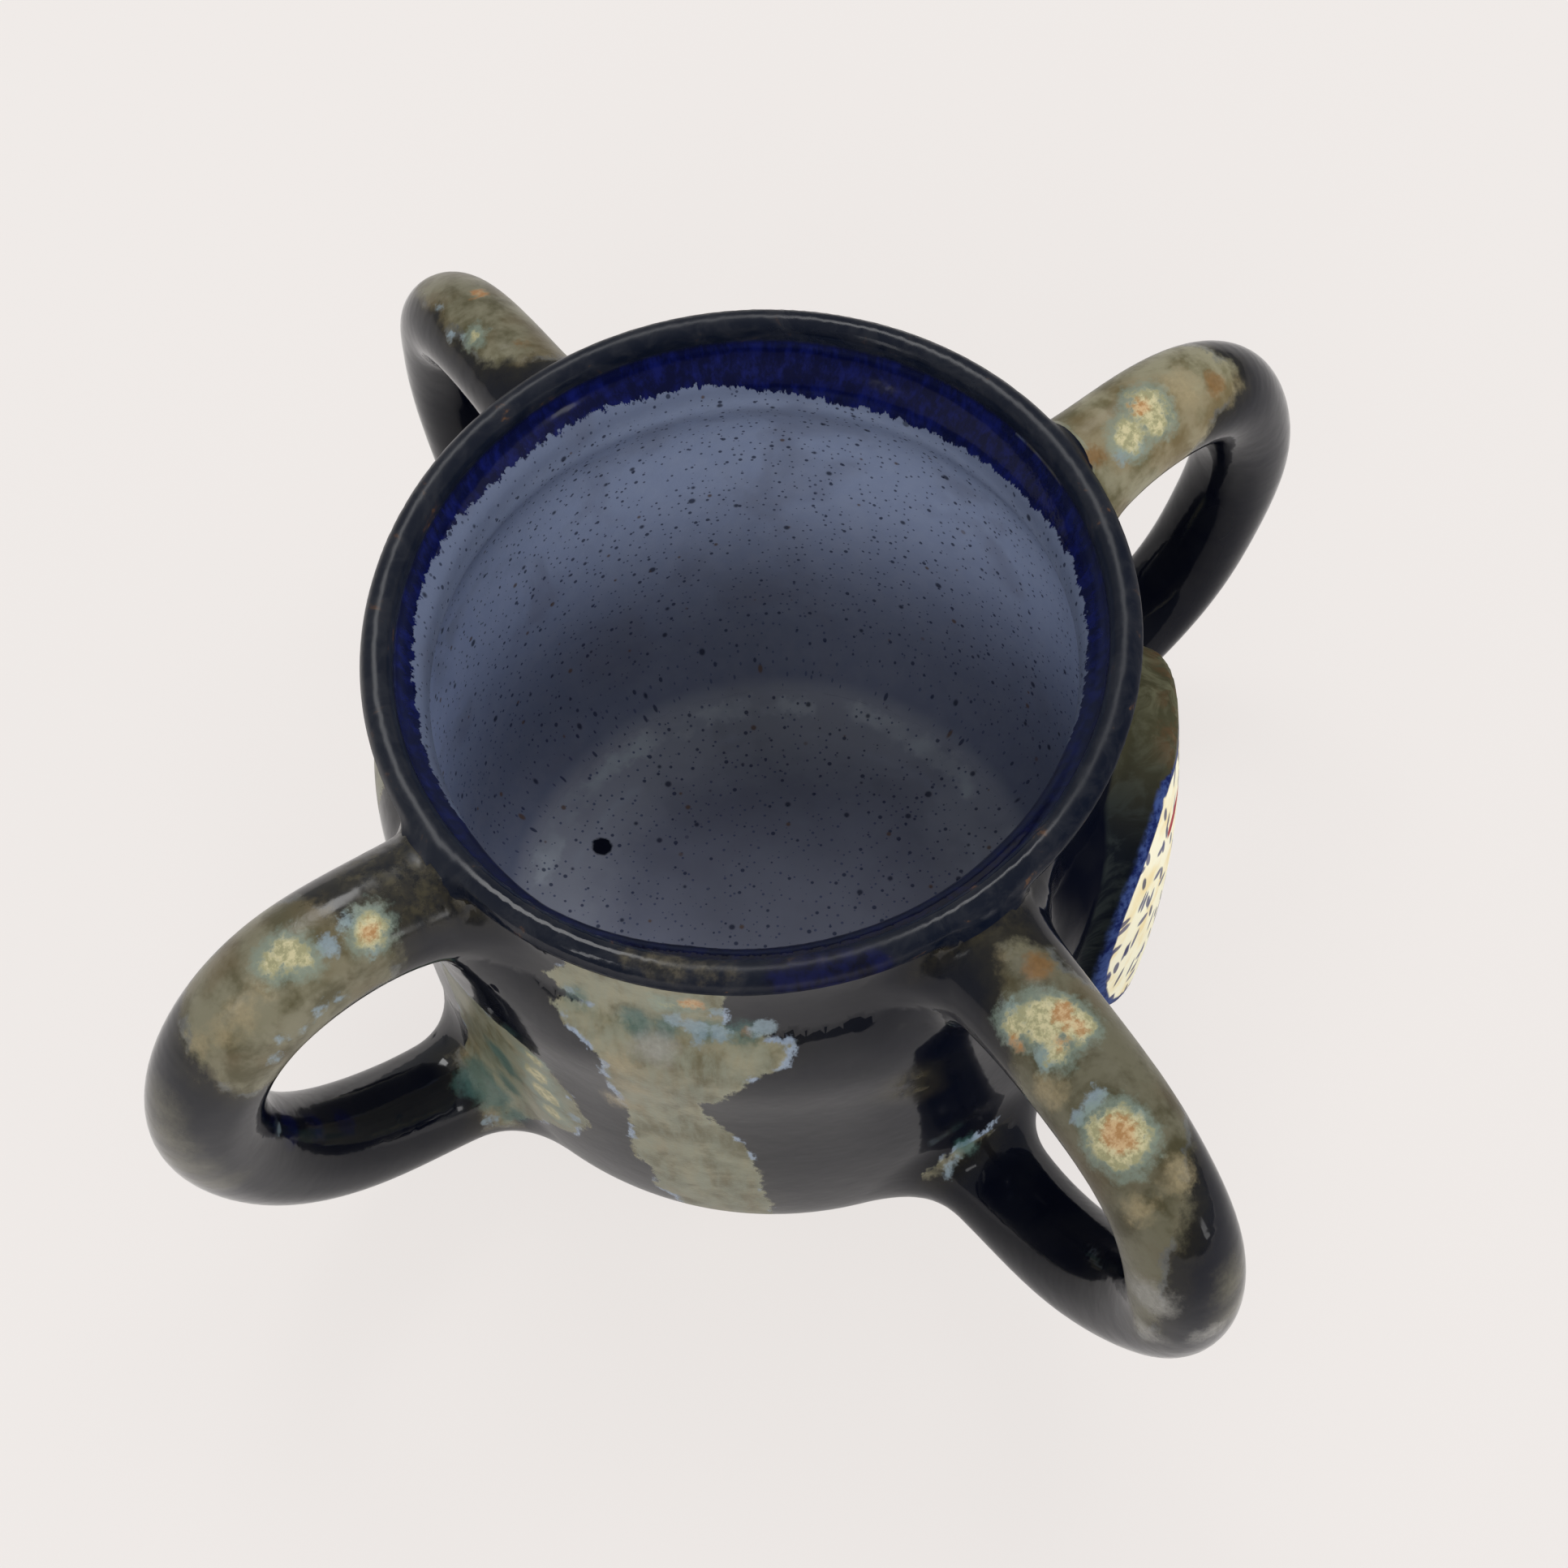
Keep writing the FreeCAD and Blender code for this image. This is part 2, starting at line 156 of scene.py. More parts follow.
def section_grid(outline):
    radii = np.arange(0.0, GRID_RADIUS, GRID_STEP)
    heights = np.arange(GRID_LOW, GRID_HIGH, GRID_STEP)
    across, up = np.meshgrid(radii, heights, indexing="ij")
    nearest = np.full(across.shape, 1e9)
    inside = np.zeros(across.shape, bool)
    count = len(outline)
    for i in range(count):
        ax, ay = outline[i]
        bx, by = outline[(i + 1) % count]
        if i < count - 1:
            dx, dy = bx - ax, by - ay
            share = np.clip(((across - ax) * dx + (up - ay) * dy) / max(dx * dx + dy * dy, 1e-12), 0, 1)
            gap = (across - ax - share * dx) ** 2 + (up - ay - share * dy) ** 2
            nearest = np.minimum(nearest, gap)
        crosses = (ay > up) != (by > up)
        with np.errstate(divide="ignore", invalid="ignore"):
            meets = across < (bx - ax) * (up - ay) / (by - ay) + ax
        inside ^= crosses & meets
    return np.sqrt(nearest) * np.where(inside, -1.0, 1.0)


def sample(grid, radius, height):
    x = np.clip(radius / GRID_STEP, 0, grid.shape[0] - 1.001)
    y = np.clip((height - GRID_LOW) / GRID_STEP, 0, grid.shape[1] - 1.001)
    i, j = x.astype(int), y.astype(int)
    u, v = x - i, y - j
    return ((grid[i, j] * (1 - u) + grid[i + 1, j] * u) * (1 - v)
            + (grid[i, j + 1] * (1 - u) + grid[i + 1, j + 1] * u) * v)


CUP_GRID = section_grid(CUP_OUTLINE)
WALL_HEIGHTS = np.linspace(8.0, 78.0, 71)
outer_rise = np.maximum.accumulate(OUTER[:, 1] + np.arange(len(OUTER)) * 1e-6)
inner_rise = np.maximum.accumulate(INNER[::-1, 1] + np.arange(len(INNER)) * 1e-6)
MID_WALL = 0.5 * (np.interp(WALL_HEIGHTS, outer_rise, OUTER[:, 0])
                  + np.interp(WALL_HEIGHTS, inner_rise, INNER[::-1, 0]))


def waves(points, length, seed, count=7):
    """A smooth wander between about -1 and 1 that repeats nowhere nearby."""
    source = np.random.default_rng(seed)
    total = np.zeros(len(points))
    for _ in range(count):
        way = source.normal(size=3)
        way *= 2 * math.pi / (length * source.uniform(0.7, 1.5) * np.linalg.norm(way))
        total += np.sin(points @ way + source.uniform(0, 2 * math.pi))
    return total / count ** 0.5 / 1.4


def handle_line(spec, count=72):
    """Centre line of a handle."""
    flat = clamped_curve([(UPPER_SEAT, spec["top"]), spec["crown"], (spec["reach"], spec["bends"][0]),
                          (spec["reach"], spec["bends"][1]), spec["heel"], (LOWER_SEAT, spec["low"])], count)
    turn = math.radians(spec["azimuth"])
    lean = math.radians(spec["lean"])
    out = np.array([math.cos(turn), math.sin(turn), 0.0])
    side = np.array([-math.sin(turn), math.cos(turn), 0.0])
    rise = flat[:, 1] - LEAN_HEIGHT
    line = flat[:, :1] * out + (rise * math.sin(lean))[:, None] * side
    line[:, 2] = LEAN_HEIGHT + rise * math.cos(lean)
    return line


LINES = {name: handle_line(spec) for name, spec in HANDLES.items()}


def handle_gap(points, name, flare=2.2):
    """Distance to a handle's skin, and the share of the way along it."""
    line = LINES[name]
    half = HANDLES[name]["thick"] / 2
    steps = np.linalg.norm(np.diff(line, axis=0), axis=1)
    along = np.concatenate([[0.0], np.cumsum(steps)])
    length = along[-1]
    near = np.full(len(points), 99.0)
    share = np.zeros(len(points))
    low, high = line.min(0) - 22, line.max(0) + 22
    picked = np.nonzero(((points > low) & (points < high)).all(1))[0]
    spots = points[picked]
    best = np.full(len(spots), 1e9)
    where = np.zeros(len(spots))
    for i in range(len(steps)):
        way = line[i + 1] - line[i]
        part = np.clip(((spots - line[i]) @ way) / (way @ way), 0, 1)
        gap = np.linalg.norm(spots - line[i] - part[:, None] * way, axis=1)
        here = along[i] + part * steps[i]
        closer = gap < best
        best = np.where(closer, gap, best)
        where = np.where(closer, here, where)
    ends = np.minimum(where - 3.0, length - 2.0 - where)
    thick = half + flare * np.exp(-np.maximum(ends, 0.0) / 6.0)
    near[picked] = best - thick
    share[picked] = where / length
    return near, share


def disc_frame():
    turn = math.radians(DISC_AZIMUTH)
    out = np.array([math.cos(turn), math.sin(turn), 0.0])
    side = np.array([-math.sin(turn), math.cos(turn), 0.0])
    return out, side


def disc_gap(points):
    """Distance to the skin of the medallion."""
    out, side = disc_frame()
    across = points @ side
    up = points[:, 2] - DISC_HEIGHT
    spread = np.hypot(across, up)
    share = np.minimum(spread / DISC_RADIUS, 1.2)
    depth = points @ out
    radius = np.hypot(points[:, 0], points[:, 1])
    face = radius - (DISC_FACE + DISC_DOME * (1 - share ** 2))
    rim = spread - DISC_RADIUS - 0.8 * smoothstep(DISC_FACE - 1, DISC_FACE - 5, radius)
    one, other = rim + DISC_EDGE, face + DISC_EDGE
    solid = (np.hypot(np.maximum(one, 0), np.maximum(other, 0)) + np.minimum(np.maximum(one, other), 0)
             - DISC_EDGE)
    return np.maximum(solid, 30.0 - depth)


def cup_place(points):
    """Radius, height and azimuth of points as seen from the wandering axis of the cup."""
    lift = smoothstep(25.0, 72.0, points[:, 2])
    x = points[:, 0] - RIM_SHIFT[0] * lift
    y = points[:, 1] - RIM_SHIFT[1] * lift
    azimuth = np.arctan2(y, x)
    swell = 1 + OVAL_SHARE * lift * np.cos(2 * (azimuth - math.radians(OVAL_DIRECTION)))
    radius, height = np.hypot(x, y) / swell, points[:, 2]
    turns, pushes = np.array(THROAT_PUSH).T
    push = np.interp(np.degrees(azimuth) % 360, turns, pushes)
    push = push * smoothstep(58, 67, height) * (1 - smoothstep(71.5, 76, height))
    push = push * (1 - smoothstep(41, 44, radius))
    return radius + push, height, azimuth


def mug_gap(points):
    """Distance to the skin of the whole mug."""
    radius, height, azimuth = cup_place(points)
    cup = sample(CUP_GRID, radius, height)
    middle = np.interp(height, WALL_HEIGHTS, MID_WALL)
    outside = np.where(height < 6.5, 1.0, smoothstep(middle - 0.8, middle + 0.8, radius))
    blended = cup
    for name in HANDLES:
        gap, share = handle_gap(points, name)
        gap = gap + 0.22 * waves(points, 26.0, 11)
        blend = 7.0 - 4.5 * smoothstep(68.0, 75.0, height)
        blended = smooth_union(blended, gap, blend)
    blended = smooth_union(blended, disc_gap(points), 2.0)
    return cup + (blended - cup) * outside


# Where the glaze has flowed. Outlines on the wall are (azimuth in degrees, height in mm);
# outlines on a handle are (mm along its centre line from the upper root, degrees around it).
WALL_FLOWS = [
    [(205, 62), (210, 59), (213, 56), (213, 47), (214, 36), (213, 24), (216, 23), (215, 14), (218, 12),
     (219, -4), (234, -4), (234, 13), (233, 20), (232, 32), (227, 44), (226, 49), (229, 50), (231, 53),
     (234, 57), (239, 60), (240, 62), (237, 63), (231, 64), (231, 67), (226, 68), (219, 66), (210, 64)],
    [(204, 65), (208, 71), (214, 76), (220, 76), (227, 76), (233, 76), (234, 75), (232, 74), (231, 71),
     (230, 66), (219, 64), (210, 63)],
    [(178, 48), (193, 47), (199, 46), (202, 41), (206, 29), (203, 23), (197, 19), (190, 13), (187, 10),
     (178, 8)],
    [(140, 4), (150, 22), (158, 44), (160, 66), (152, 70), (140, 66), (128, 48), (124, 20), (128, 2)],
    [(60, 8), (66, 30), (58, 52), (48, 62), (38, 55), (36, 30), (44, 8)],
    [(98, 66), (104, 50), (112, 44), (118, 58), (116, 70)],
]
WALL_HAZES = [
    [(250, 46), (253, 51), (256, 52), (259, 49), (260, 41), (257, 40), (253, 43)],
]
HANDLE_FLOWS = {
    "left": [[(27, -71), (24, -67), (22, -34), (21, -21), (21, 2), (20, 14), (19, 7), (17, 15), (17, 36),
              (17, 54), (17, 105), (22, 101), (29, 108), (32, 116), (37, 120), (40, 93), (40, 79), (39, 57),
              (38, 40), (38, 14), (37, -3), (36, -21), (35, -58), (32, -61), (29, -66)],
             [(109, 95), (109, 133), (111, 151), (110, 170), (122, 175), (122, 90)]],
    "front": [[(9, -9), (10, 15), (12, 33), (14, 32), (18, 65), (21, 76), (25, 79), (29, 81), (32, 81),
               (34, 47), (35, 39), (36, 22), (37, 10), (39, 2), (41, -16), (42, -29), (43, -41), (46, -50),
               (49, -58), (55, -69), (60, -75), (58, -95), (48, -124), (41, -107), (38, -107), (34, -109),
               (31, -105), (27, -102), (25, -106), (21, -102), (18, -66), (16, -54), (14, -38), (13, -22),
               (11, -16)],
              [(112, -120), (110, -150), (110, -178), (113, -205), (122, -205), (122, -120)]],
    "right": [[(-3, 60), (9, 58), (13, 62), (18, 64), (23, 56), (26, 51), (27, 43), (27, -2), (28, -14),
               (28, -31), (28, -45), (26, -57), (24, -62), (23, -73), (22, -87), (19, -114), (16, -107),
               (12, -109), (-3, -109)]],
    "back": [[(35, 28), (29, 36), (27, 31), (25, 39), (22, 44), (22, 36), (19, 39), (15, 33), (13, 21),
              (11, 7), (11, -8), (10, -24), (10, -67), (13, -73), (20, -78), (26, -75), (33, -52), (36, 0)]],
}
HANDLE_HAZES = {
    "front": [[(4, -73), (6, -47), (8, -15), (9, 24), (1, 60), (-4, 60), (-4, -80)]],
    "left": [[(20, -40), (13, -75), (0, -80), (-3, -60), (-3, 60), (9, 60), (17, 50), (19, 10)]],
    "right": [[(98, -60), (96, 60), (112, 60), (112, -60)]],
}

# The torn lower edge of the cobalt band inside: azimuth in degrees, distance in mm from the lip.
BAND_EDGE = [(2, -9.7), (20, -10.9), (40, -11.6), (54, -10.7), (63, -9.3), (76, -8.9), (88, -7.9),
             (104, -7.9), (120, -6.9), (136, -7.2), (156, -8.4), (168, -8.5), (176, -9.5), (186, -13.0),
             (296, -13.0), (306, -10.0), (322, -9.0), (345, -8.3)]

# Painted light and shade on the flows: azimuth of each handle in degrees and a factor that darkens or
# lightens its glaze for how the light falls on it.
FLOW_PAINTED_SHADE = [(2.5, 1.06), (88.1, 0.7), (180.8, 0.72), (267.8, 0.46)]

# Painted light and shade inside: azimuth in degrees, a factor for the band and one for the low wall and
# floor, that lighten or darken the glaze for how the light falls there.
INNER_PAINTED_LIGHT = [(0, 0.8, 1.2), (60, 1.0, 0.9), (110, 1.0, 1.5), (150, 1.0, 2.0), (185, 0.7, 2.4),
                (215, 0.3, 2.2), (250, 0.3, 1.1), (290, 0.35, 1.0), (330, 0.7, 1.1)]

# How rough the glaze on the lip is: azimuth in degrees and a value.
LIP_POLISH = [(0, 0.3), (40, 0.12), (60, 0.3), (150, 0.25), (188, 0.3), (196, 0.05), (214, 0.05), (224, 0.34),
              (252, 0.34), (262, 0.1), (278, 0.1), (290, 0.35)]

# How strongly the glaze mirrors: azimuth in degrees and an index of refraction.
MIRROR_INDEX = [(2, 1.26), (20, 1.26), (88, 1.34), (130, 1.4), (152, 1.4), (176, 1.5), (222, 1.48),
                (244, 1.44), (258, 1.36), (268, 1.33), (280, 1.2), (288, 1.03), (332, 1.03), (346, 1.18)]

# Crystals and tints in the glaze, and a painted sheen on two handles' outer bends: centre and radius in mm.
DABS = {
    "cream": [(-59.0, -8.3, 77.6, 2.2), (-68.2, -5.9, 78.8, 2.0), (-67.0, -7.6, 78.3, 1.2),
              (-70.4, -5.9, 78.3, 1.3), (-4.3, -60.7, 74.9, 2.9), (-2.1, -63.0, 75.0, 2.1),
              (-7.0, -58.7, 73.5, 1.7), (-5.7, -64.0, 74.1, 1.6), (-6.2, -75.6, 72.2, 3.6),
              (58.2, -1.6, 77.2, 2.4), (57.9, -3.7, 76.2, 1.9), (53.8, -3.4, 76.0, 2.1),
              (-1.4, 62.4, 72.6, 0.8), (-33.6, -33.0, 68.8, 0.9), (-35.6, -31.0, 68.2, 0.8),
              (-46.6, -15.4, 42.0, 1.6), (-46.2, -14.9, 36.4, 2.2), (-45.8, -15.0, 31.0, 2.4),
              (-45.4, -15.4, 25.6, 1.8), (47.0, 8.0, 20.0, 3.0), (20.0, 44.0, 40.0, 2.5)],
    "peach": [(-59.1, -8.3, 77.5, 0.9), (-2.7, -61.5, 75.1, 1.1), (-2.3, -63.8, 75.0, 0.4),
              (-4.9, -63.6, 74.6, 0.6), (-8.0, -60.0, 72.4, 0.6), (-5.8, -75.5, 72.4, 1.8),
              (57.3, -1.3, 77.3, 1.0), (3.3, 69.1, 71.7, 0.9), (-33.2, -33.3, 69.2, 1.1)],
    "sky": [(-63.9, -7.7, 78.4, 1.3), (-60.6, -6.6, 78.7, 1.2), (-59.9, -9.9, 75.9, 0.8),
            (-65.3, -11.2, 73.3, 0.6), (-68.1, -11.2, 73.1, 0.9), (-70.5, -11.3, 71.3, 0.7),
            (-73.0, -11.0, 71.6, 0.7), (-74.7, -11.1, 68.7, 0.6), (-6.6, -63.7, 73.6, 1.5),
            (-6.0, -59.0, 74.3, 0.9), (-6.5, -57.2, 74.0, 0.7), (-5.7, -70.8, 73.4, 1.2),
            (-7.9, -70.8, 71.8, 0.9), (-3.3, -75.0, 73.2, 0.8), (-9.4, -82.9, 42.2, 0.6),
            (51.9, -4.6, 74.9, 1.1), (54.3, -4.6, 75.1, 0.9), (-2.4, 63.9, 71.8, 0.5),
            (-1.8, 71.1, 70.4, 0.5), (-3.1, 66.1, 70.8, 0.4), (-31.1, -35.3, 67.7, 0.6),
            (-31.1, -35.8, 63.5, 1.2), (-27.2, -38.5, 64.6, 1.4), (-33.4, -33.6, 64.2, 1.4),
            (-35.0, -31.9, 65.3, 1.1), (-33.7, -34.6, 62.4, 0.7), (-42.3, -21.3, 64.6, 0.8),
            (-44.3, -18.8, 28.9, 1.1), (-50.4, -5.7, 13.0, 1.1), (-6.7, -48.9, 19.8, 0.6),
            (-8.0, -49.3, 17.9, 0.5), (-76.5, -5.3, 42.9, 1.1)],
    "sand": [(-72.5, -6.9, 77.3, 1.3), (-75.7, -7.6, 75.3, 1.6), (-78.6, -7.3, 73.3, 1.4),
             (-81.2, -5.7, 71.6, 1.2), (-8.4, -66.6, 71.5, 1.8), (-2.9, -82.2, 70.2, 1.4),
             (-8.3, -81.8, 67.7, 1.4), (63.6, -1.7, 77.0, 2.6), (-41.2, -28.9, 55.4, 2.2),
             (-40.8, -27.2, 42.3, 2.2), (-40.3, -29.4, 49.8, 1.8), (-39.2, -27.6, 78.1, 1.3),
             (-46.4, -14.8, 40.4, 1.4)],
    "pale": [(-37.6, -31.8, 60.7, 2.3), (-38.6, -29.8, 60.2, 1.2), (-10.1, -87.5, 56.3, 2.8),
             (-10.1, -87.9, 47.1, 1.9), (-5.5, -92.6, 50.0, 1.6)],
    "ochre": [(53.2, -1.7, 76.7, 0.6), (48.7, -3.2, 75.5, 1.4), (68.3, -2.8, 75.4, 1.4),
              (2.3, 56.6, 73.8, 0.7), (-28.9, -37.4, 64.1, 0.5), (-1.1, -55.2, 75.3, 1.6)],
    "teal": [(-38.2, -28.8, 63.2, 2.0), (-32.4, -34.5, 64.0, 1.6), (-42.0, -22.1, 64.2, 1.5),
             (-35.9, -31.3, 63.4, 1.5), (-48.8, -5.0, 17.2, 2.4), (-47.4, -8.5, 29.7, 1.9),
             (-47.6, -7.4, 13.6, 2.0), (-4.7, -48.7, 21.7, 1.3), (-47.7, -7.7, 32.1, 2.6),
             (-49.5, -2.5, 18.9, 2.8),
             (-47.1, -7.0, 22.0, 2.4), (-28.9, -37.3, 64.2, 1.8), (-30.4, -36.2, 64.0, 1.4),
             (-37.9, -28.6, 64.5, 1.2)],
    # painted sheen: pale grey-olive patches on the outer bends of the left and front handles, where the glaze
    # turns away
    "painted_sheen": [(-88.8, -4.5, 61.5, 3.0), (-88.7, -5.0, 56.0, 3.4), (-88.0, -5.8, 50.0, 3.2),
             (-86.2, -6.8, 44.0, 2.6), (-1.0, -92.4, 57.5, 2.6), (-1.6, -92.4, 52.0, 2.4)],
    "cobalt": [(-76.5, -5.2, 45.0, 2.2), (-75.0, -4.0, 39.0, 2.6), (-72.0, -2.6, 32.5, 2.2),
               (-68.0, -1.8, 27.4, 1.6), (-25.2, -40.6, 77.2, 2.2), (-22.6, -42.0, 77.2, 2.8),
               (-19.6, -43.4, 77.0, 2.8), (-16.4, -44.8, 76.8, 2.3), (-23.0, -40.8, 74.0, 1.8)],
    "umber": [(-37.8, -28.4, 77.8, 1.1), (-36.2, -30.4, 77.6, 1.4), (-34.2, -32.6, 77.4, 1.5),
              (-31.8, -34.8, 77.2, 1.5), (-29.4, -36.8, 77.0, 1.3)],
    "pit": [(0.4, 61.9, 73.2, 0.4), (-14.1, 23.3, 8.1, 1.5), (-9.2, 22.0, 8.1, 0.3),
            (-16.8, -43.9, 63.2, 0.0)],
}


def outline_gap(across, up, outline):
    """Signed distance to a closed outline in the plane, negative inside."""
    nearest = np.full(len(across), 1e9)
    inside = np.zeros(len(across), bool)
    for (ax, ay), (bx, by) in zip(outline, outline[1:] + outline[:1]):
        dx, dy = bx - ax, by - ay
        share = np.clip(((across - ax) * dx + (up - ay) * dy) / max(dx * dx + dy * dy, 1e-9), 0, 1)
        nearest = np.minimum(nearest, (across - ax - share * dx) ** 2 + (up - ay - share * dy) ** 2)
        if ay != by:
            inside ^= ((ay > up) != (by > up)) & (across < (bx - ax) * (up - ay) / (by - ay) + ax)
    return np.sqrt(nearest) * np.where(inside, -1.0, 1.0)


def handle_place(points, name):
    """Distance along a handle in mm, degrees around it from its outer side, and gap to its skin."""
    line = LINES[name]
    turn, lean = math.radians(HANDLES[name]["azimuth"]), math.radians(HANDLES[name]["lean"])
    side = np.array([-math.sin(turn) * math.cos(lean), math.cos(turn) * math.cos(lean), -math.sin(lean)])
    steps = np.diff(line, axis=0)
    lengths = np.linalg.norm(steps, axis=1)
    along = np.concatenate([[0.0], np.cumsum(lengths)])
    best = np.full(len(points), 1e9)
    where, around = np.zeros(len(points)), np.zeros(len(points))
    for i in range(len(steps)):
        part = np.clip(((points - line[i]) @ steps[i]) / lengths[i] ** 2, 0, 1)
        away = points - line[i] - part[:, None] * steps[i]
        gap = np.linalg.norm(away, axis=1)
        closer = gap < best
        outward = np.cross(steps[i] / lengths[i], side)
        best[closer] = gap[closer]
        where[closer] = (along[i] + part * lengths[i])[closer]
        around[closer] = np.degrees(np.arctan2(away @ side, away @ outward))[closer]
    return where, around, best - HANDLES[name]["thick"] / 2


def flow_gap(points, wall_outlines, handle_outlines):
    """Distance in mm to the edge of a glaze flow, negative inside it."""
    radius, height, azimuth = cup_place(points)
    degrees = np.degrees(azimuth) % 360
    wall = np.abs(sample(CUP_GRID, radius, height)) - 3.0
    wall = np.where(np.interp(height, WALL_HEIGHTS, MID_WALL) > radius, 9.0, wall)
    total = np.full(len(points), 9.0)
    for outline in wall_outlines:
        middle = sum(spot[0] for spot in outline) / len(outline)
        apart = (degrees - middle + 180) % 360 - 180
        flat = [((spot[0] - middle) * MM_PER_DEGREE, spot[1]) for spot in outline]
        total = np.minimum(total, np.maximum(outline_gap(apart * MM_PER_DEGREE, height, flat), wall))
    for name, outlines in handle_outlines.items():
        where, around, gap = handle_place(points, name)
        around_mm = HANDLES[name]["thick"] / 2 * math.pi / 180
        for outline in outlines:
            middle = sum(spot[1] for spot in outline) / len(outline)
            apart = (around - middle + 180) % 360 - 180
            flat = [(spot[0], (spot[1] - middle) * around_mm) for spot in outline]
            total = np.minimum(total, np.maximum(outline_gap(where, apart * around_mm, flat), gap - 3.0))
    return np.clip(total, -9.0, 9.0)


def dab_gap(points, dabs):
    total = np.full(len(points), 9.0)
    for x, y, z, size in dabs:
        total = np.minimum(total, np.linalg.norm(points - (x, y, z), axis=1) - size)
    return total


def lip_run(points):
    """Distance in mm over the skin of the cup from the top of the lip, negative inside the cup."""
    radius, height, azimuth = cup_place(points)
    path = np.concatenate([OUTER, INNER[1:], [(0.0, FLOOR_HEIGHT)]])
    steps = np.diff(path, axis=0)
    lengths = np.linalg.norm(steps, axis=1)
    along = np.concatenate([[0.0], np.cumsum(lengths)])
    best = np.full(len(points), 1e9)
    place = np.zeros(len(points))
    for i in range(len(steps)):
        part = np.clip(((radius - path[i, 0]) * steps[i, 0] + (height - path[i, 1]) * steps[i, 1])
                       / max(lengths[i] ** 2, 1e-9), 0, 1)
        gap = np.hypot(radius - path[i, 0] - part * steps[i, 0], height - path[i, 1] - part * steps[i, 1])
        closer = gap < best
        best[closer] = gap[closer]
        place[closer] = (along[i] + part * lengths[i])[closer]
    return np.where(best < 1.2, along[len(OUTER) - 1] - place, FAR_RUN)


def disc_place(points, run):
    """Place on the medallion: across, up, depth inside its edge and height over the edge of its face."""
    out, side = disc_frame()
    across = points @ side
    up = points[:, 2] - DISC_HEIGHT
    within = np.where((points @ out > 30) & (run > 1), DISC_RADIUS - np.hypot(across, up), -9.0)
    proud = np.hypot(points[:, 0], points[:, 1]) - DISC_FACE
    return across, up, np.clip(within, -9, 30), np.clip(proud, -9, 9)


def paint_fields(mesh, points):
    """Keeps every field that the glaze is painted from as an attribute of the mesh."""
    run = lip_run(points)
    across, up, within, proud = disc_place(points, run)
    azimuth = np.degrees(np.arctan2(points[:, 1], points[:, 0])) % 360
    spread = np.hypot(points[:, 0], points[:, 1])
    edges, shades, levels = np.array(BAND_EDGE), np.array(FLOW_PAINTED_SHADE), np.array(MIRROR_INDEX)
    # painted light and shade inside the cup, faded to an even factor near the middle of the floor
    turns, high, low = np.array(INNER_PAINTED_LIGHT).T
    high, low = np.interp(azimuth, turns, high, period=360), np.interp(azimuth, turns, low, period=360)
    low = 1.2 + (low - 1.2) * smoothstep(5, 30, spread)
    # painted light and shade: each handle's factor, faded in towards the handles
    shade = np.interp(azimuth, shades[:, 0], shades[:, 1], period=360)
    fields = {
        "lip_run": run,
        "band": run - np.interp(azimuth, edges[:, 0], edges[:, 1], period=360),
        "shade": 1 + (shade - 1) * smoothstep(49, 54, spread),
        "lip_polish": np.interp(azimuth, *np.array(LIP_POLISH).T, period=360),
        "inner_painted_light": high + (low - high) * (1 - smoothstep(-42, -12, run)),
        "mirror": np.interp(azimuth, levels[:, 0], levels[:, 1], period=360),
        "flow": flow_gap(points, WALL_FLOWS, HANDLE_FLOWS),
        "haze": flow_gap(points, WALL_HAZES, HANDLE_HAZES),
        "disc_across": across,
        "disc_up": up,
        "disc_within": within,
        "disc_proud": proud,
    }
    for kind, dabs in DABS.items():
        fields[kind] = dab_gap(points, dabs)
    for name, values in fields.items():
        mesh.attributes.new(name, "FLOAT", "POINT").data.foreach_set("value", values.astype(np.float32))


def slope(points, step=0.02):
    centre = mug_gap(points)
    sides = []
    for axis in range(3):
        moved = points.copy()
        moved[:, axis] += step
        sides.append((mug_gap(moved) - centre) / step)
    return centre, np.stack(sides, 1)


def voxel_skin(source, size):
    """A new mesh of even small quads over a closed mesh."""
    holder = bpy.data.objects.new("holder", source)
    bpy.context.scene.collection.objects.link(holder)
    modifier = holder.modifiers.new("skin", "REMESH")
    modifier.mode = "VOXEL"
    modifier.voxel_size = size
    bpy.context.view_layer.update()
    skin = bpy.data.meshes.new_from_object(holder.evaluated_get(bpy.context.evaluated_depsgraph_get()))
    bpy.data.objects.remove(holder)
    return skin


def read_points(mesh):
    flat = np.empty(len(mesh.vertices) * 3)
    mesh.vertices.foreach_get("co", flat)
    return flat.reshape(-1, 3)


def relax(points, edges, share):
    """Moves each point towards the middle of its neighbours."""
    count = np.bincount(edges.ravel(), minlength=len(points)).astype(float)
    middle = np.zeros_like(points)
    for axis in range(3):
        middle[:, axis] = (np.bincount(edges[:, 0], points[edges[:, 1], axis], len(points))
                           + np.bincount(edges[:, 1], points[edges[:, 0], axis], len(points)))
    middle /= np.maximum(count, 1)[:, None]
    return points + (middle - points) * share


def settle(points):
    """Moves the round cup of the solid near the slightly oval one, its handles left alone."""
    radius = np.hypot(points[:, 0], points[:, 1])
    azimuth = np.arctan2(points[:, 1], points[:, 0])
    lift = smoothstep(25.0, 72.0, points[:, 2]) * (1 - smoothstep(49.0, 58.0, radius))
    swell = 1 + OVAL_SHARE * lift * np.cos(2 * (azimuth - math.radians(OVAL_DIRECTION)))
    moved = points.copy()
    moved[:, 0] = points[:, 0] * swell + RIM_SHIFT[0] * lift
    moved[:, 1] = points[:, 1] * swell + RIM_SHIFT[1] * lift
    return moved


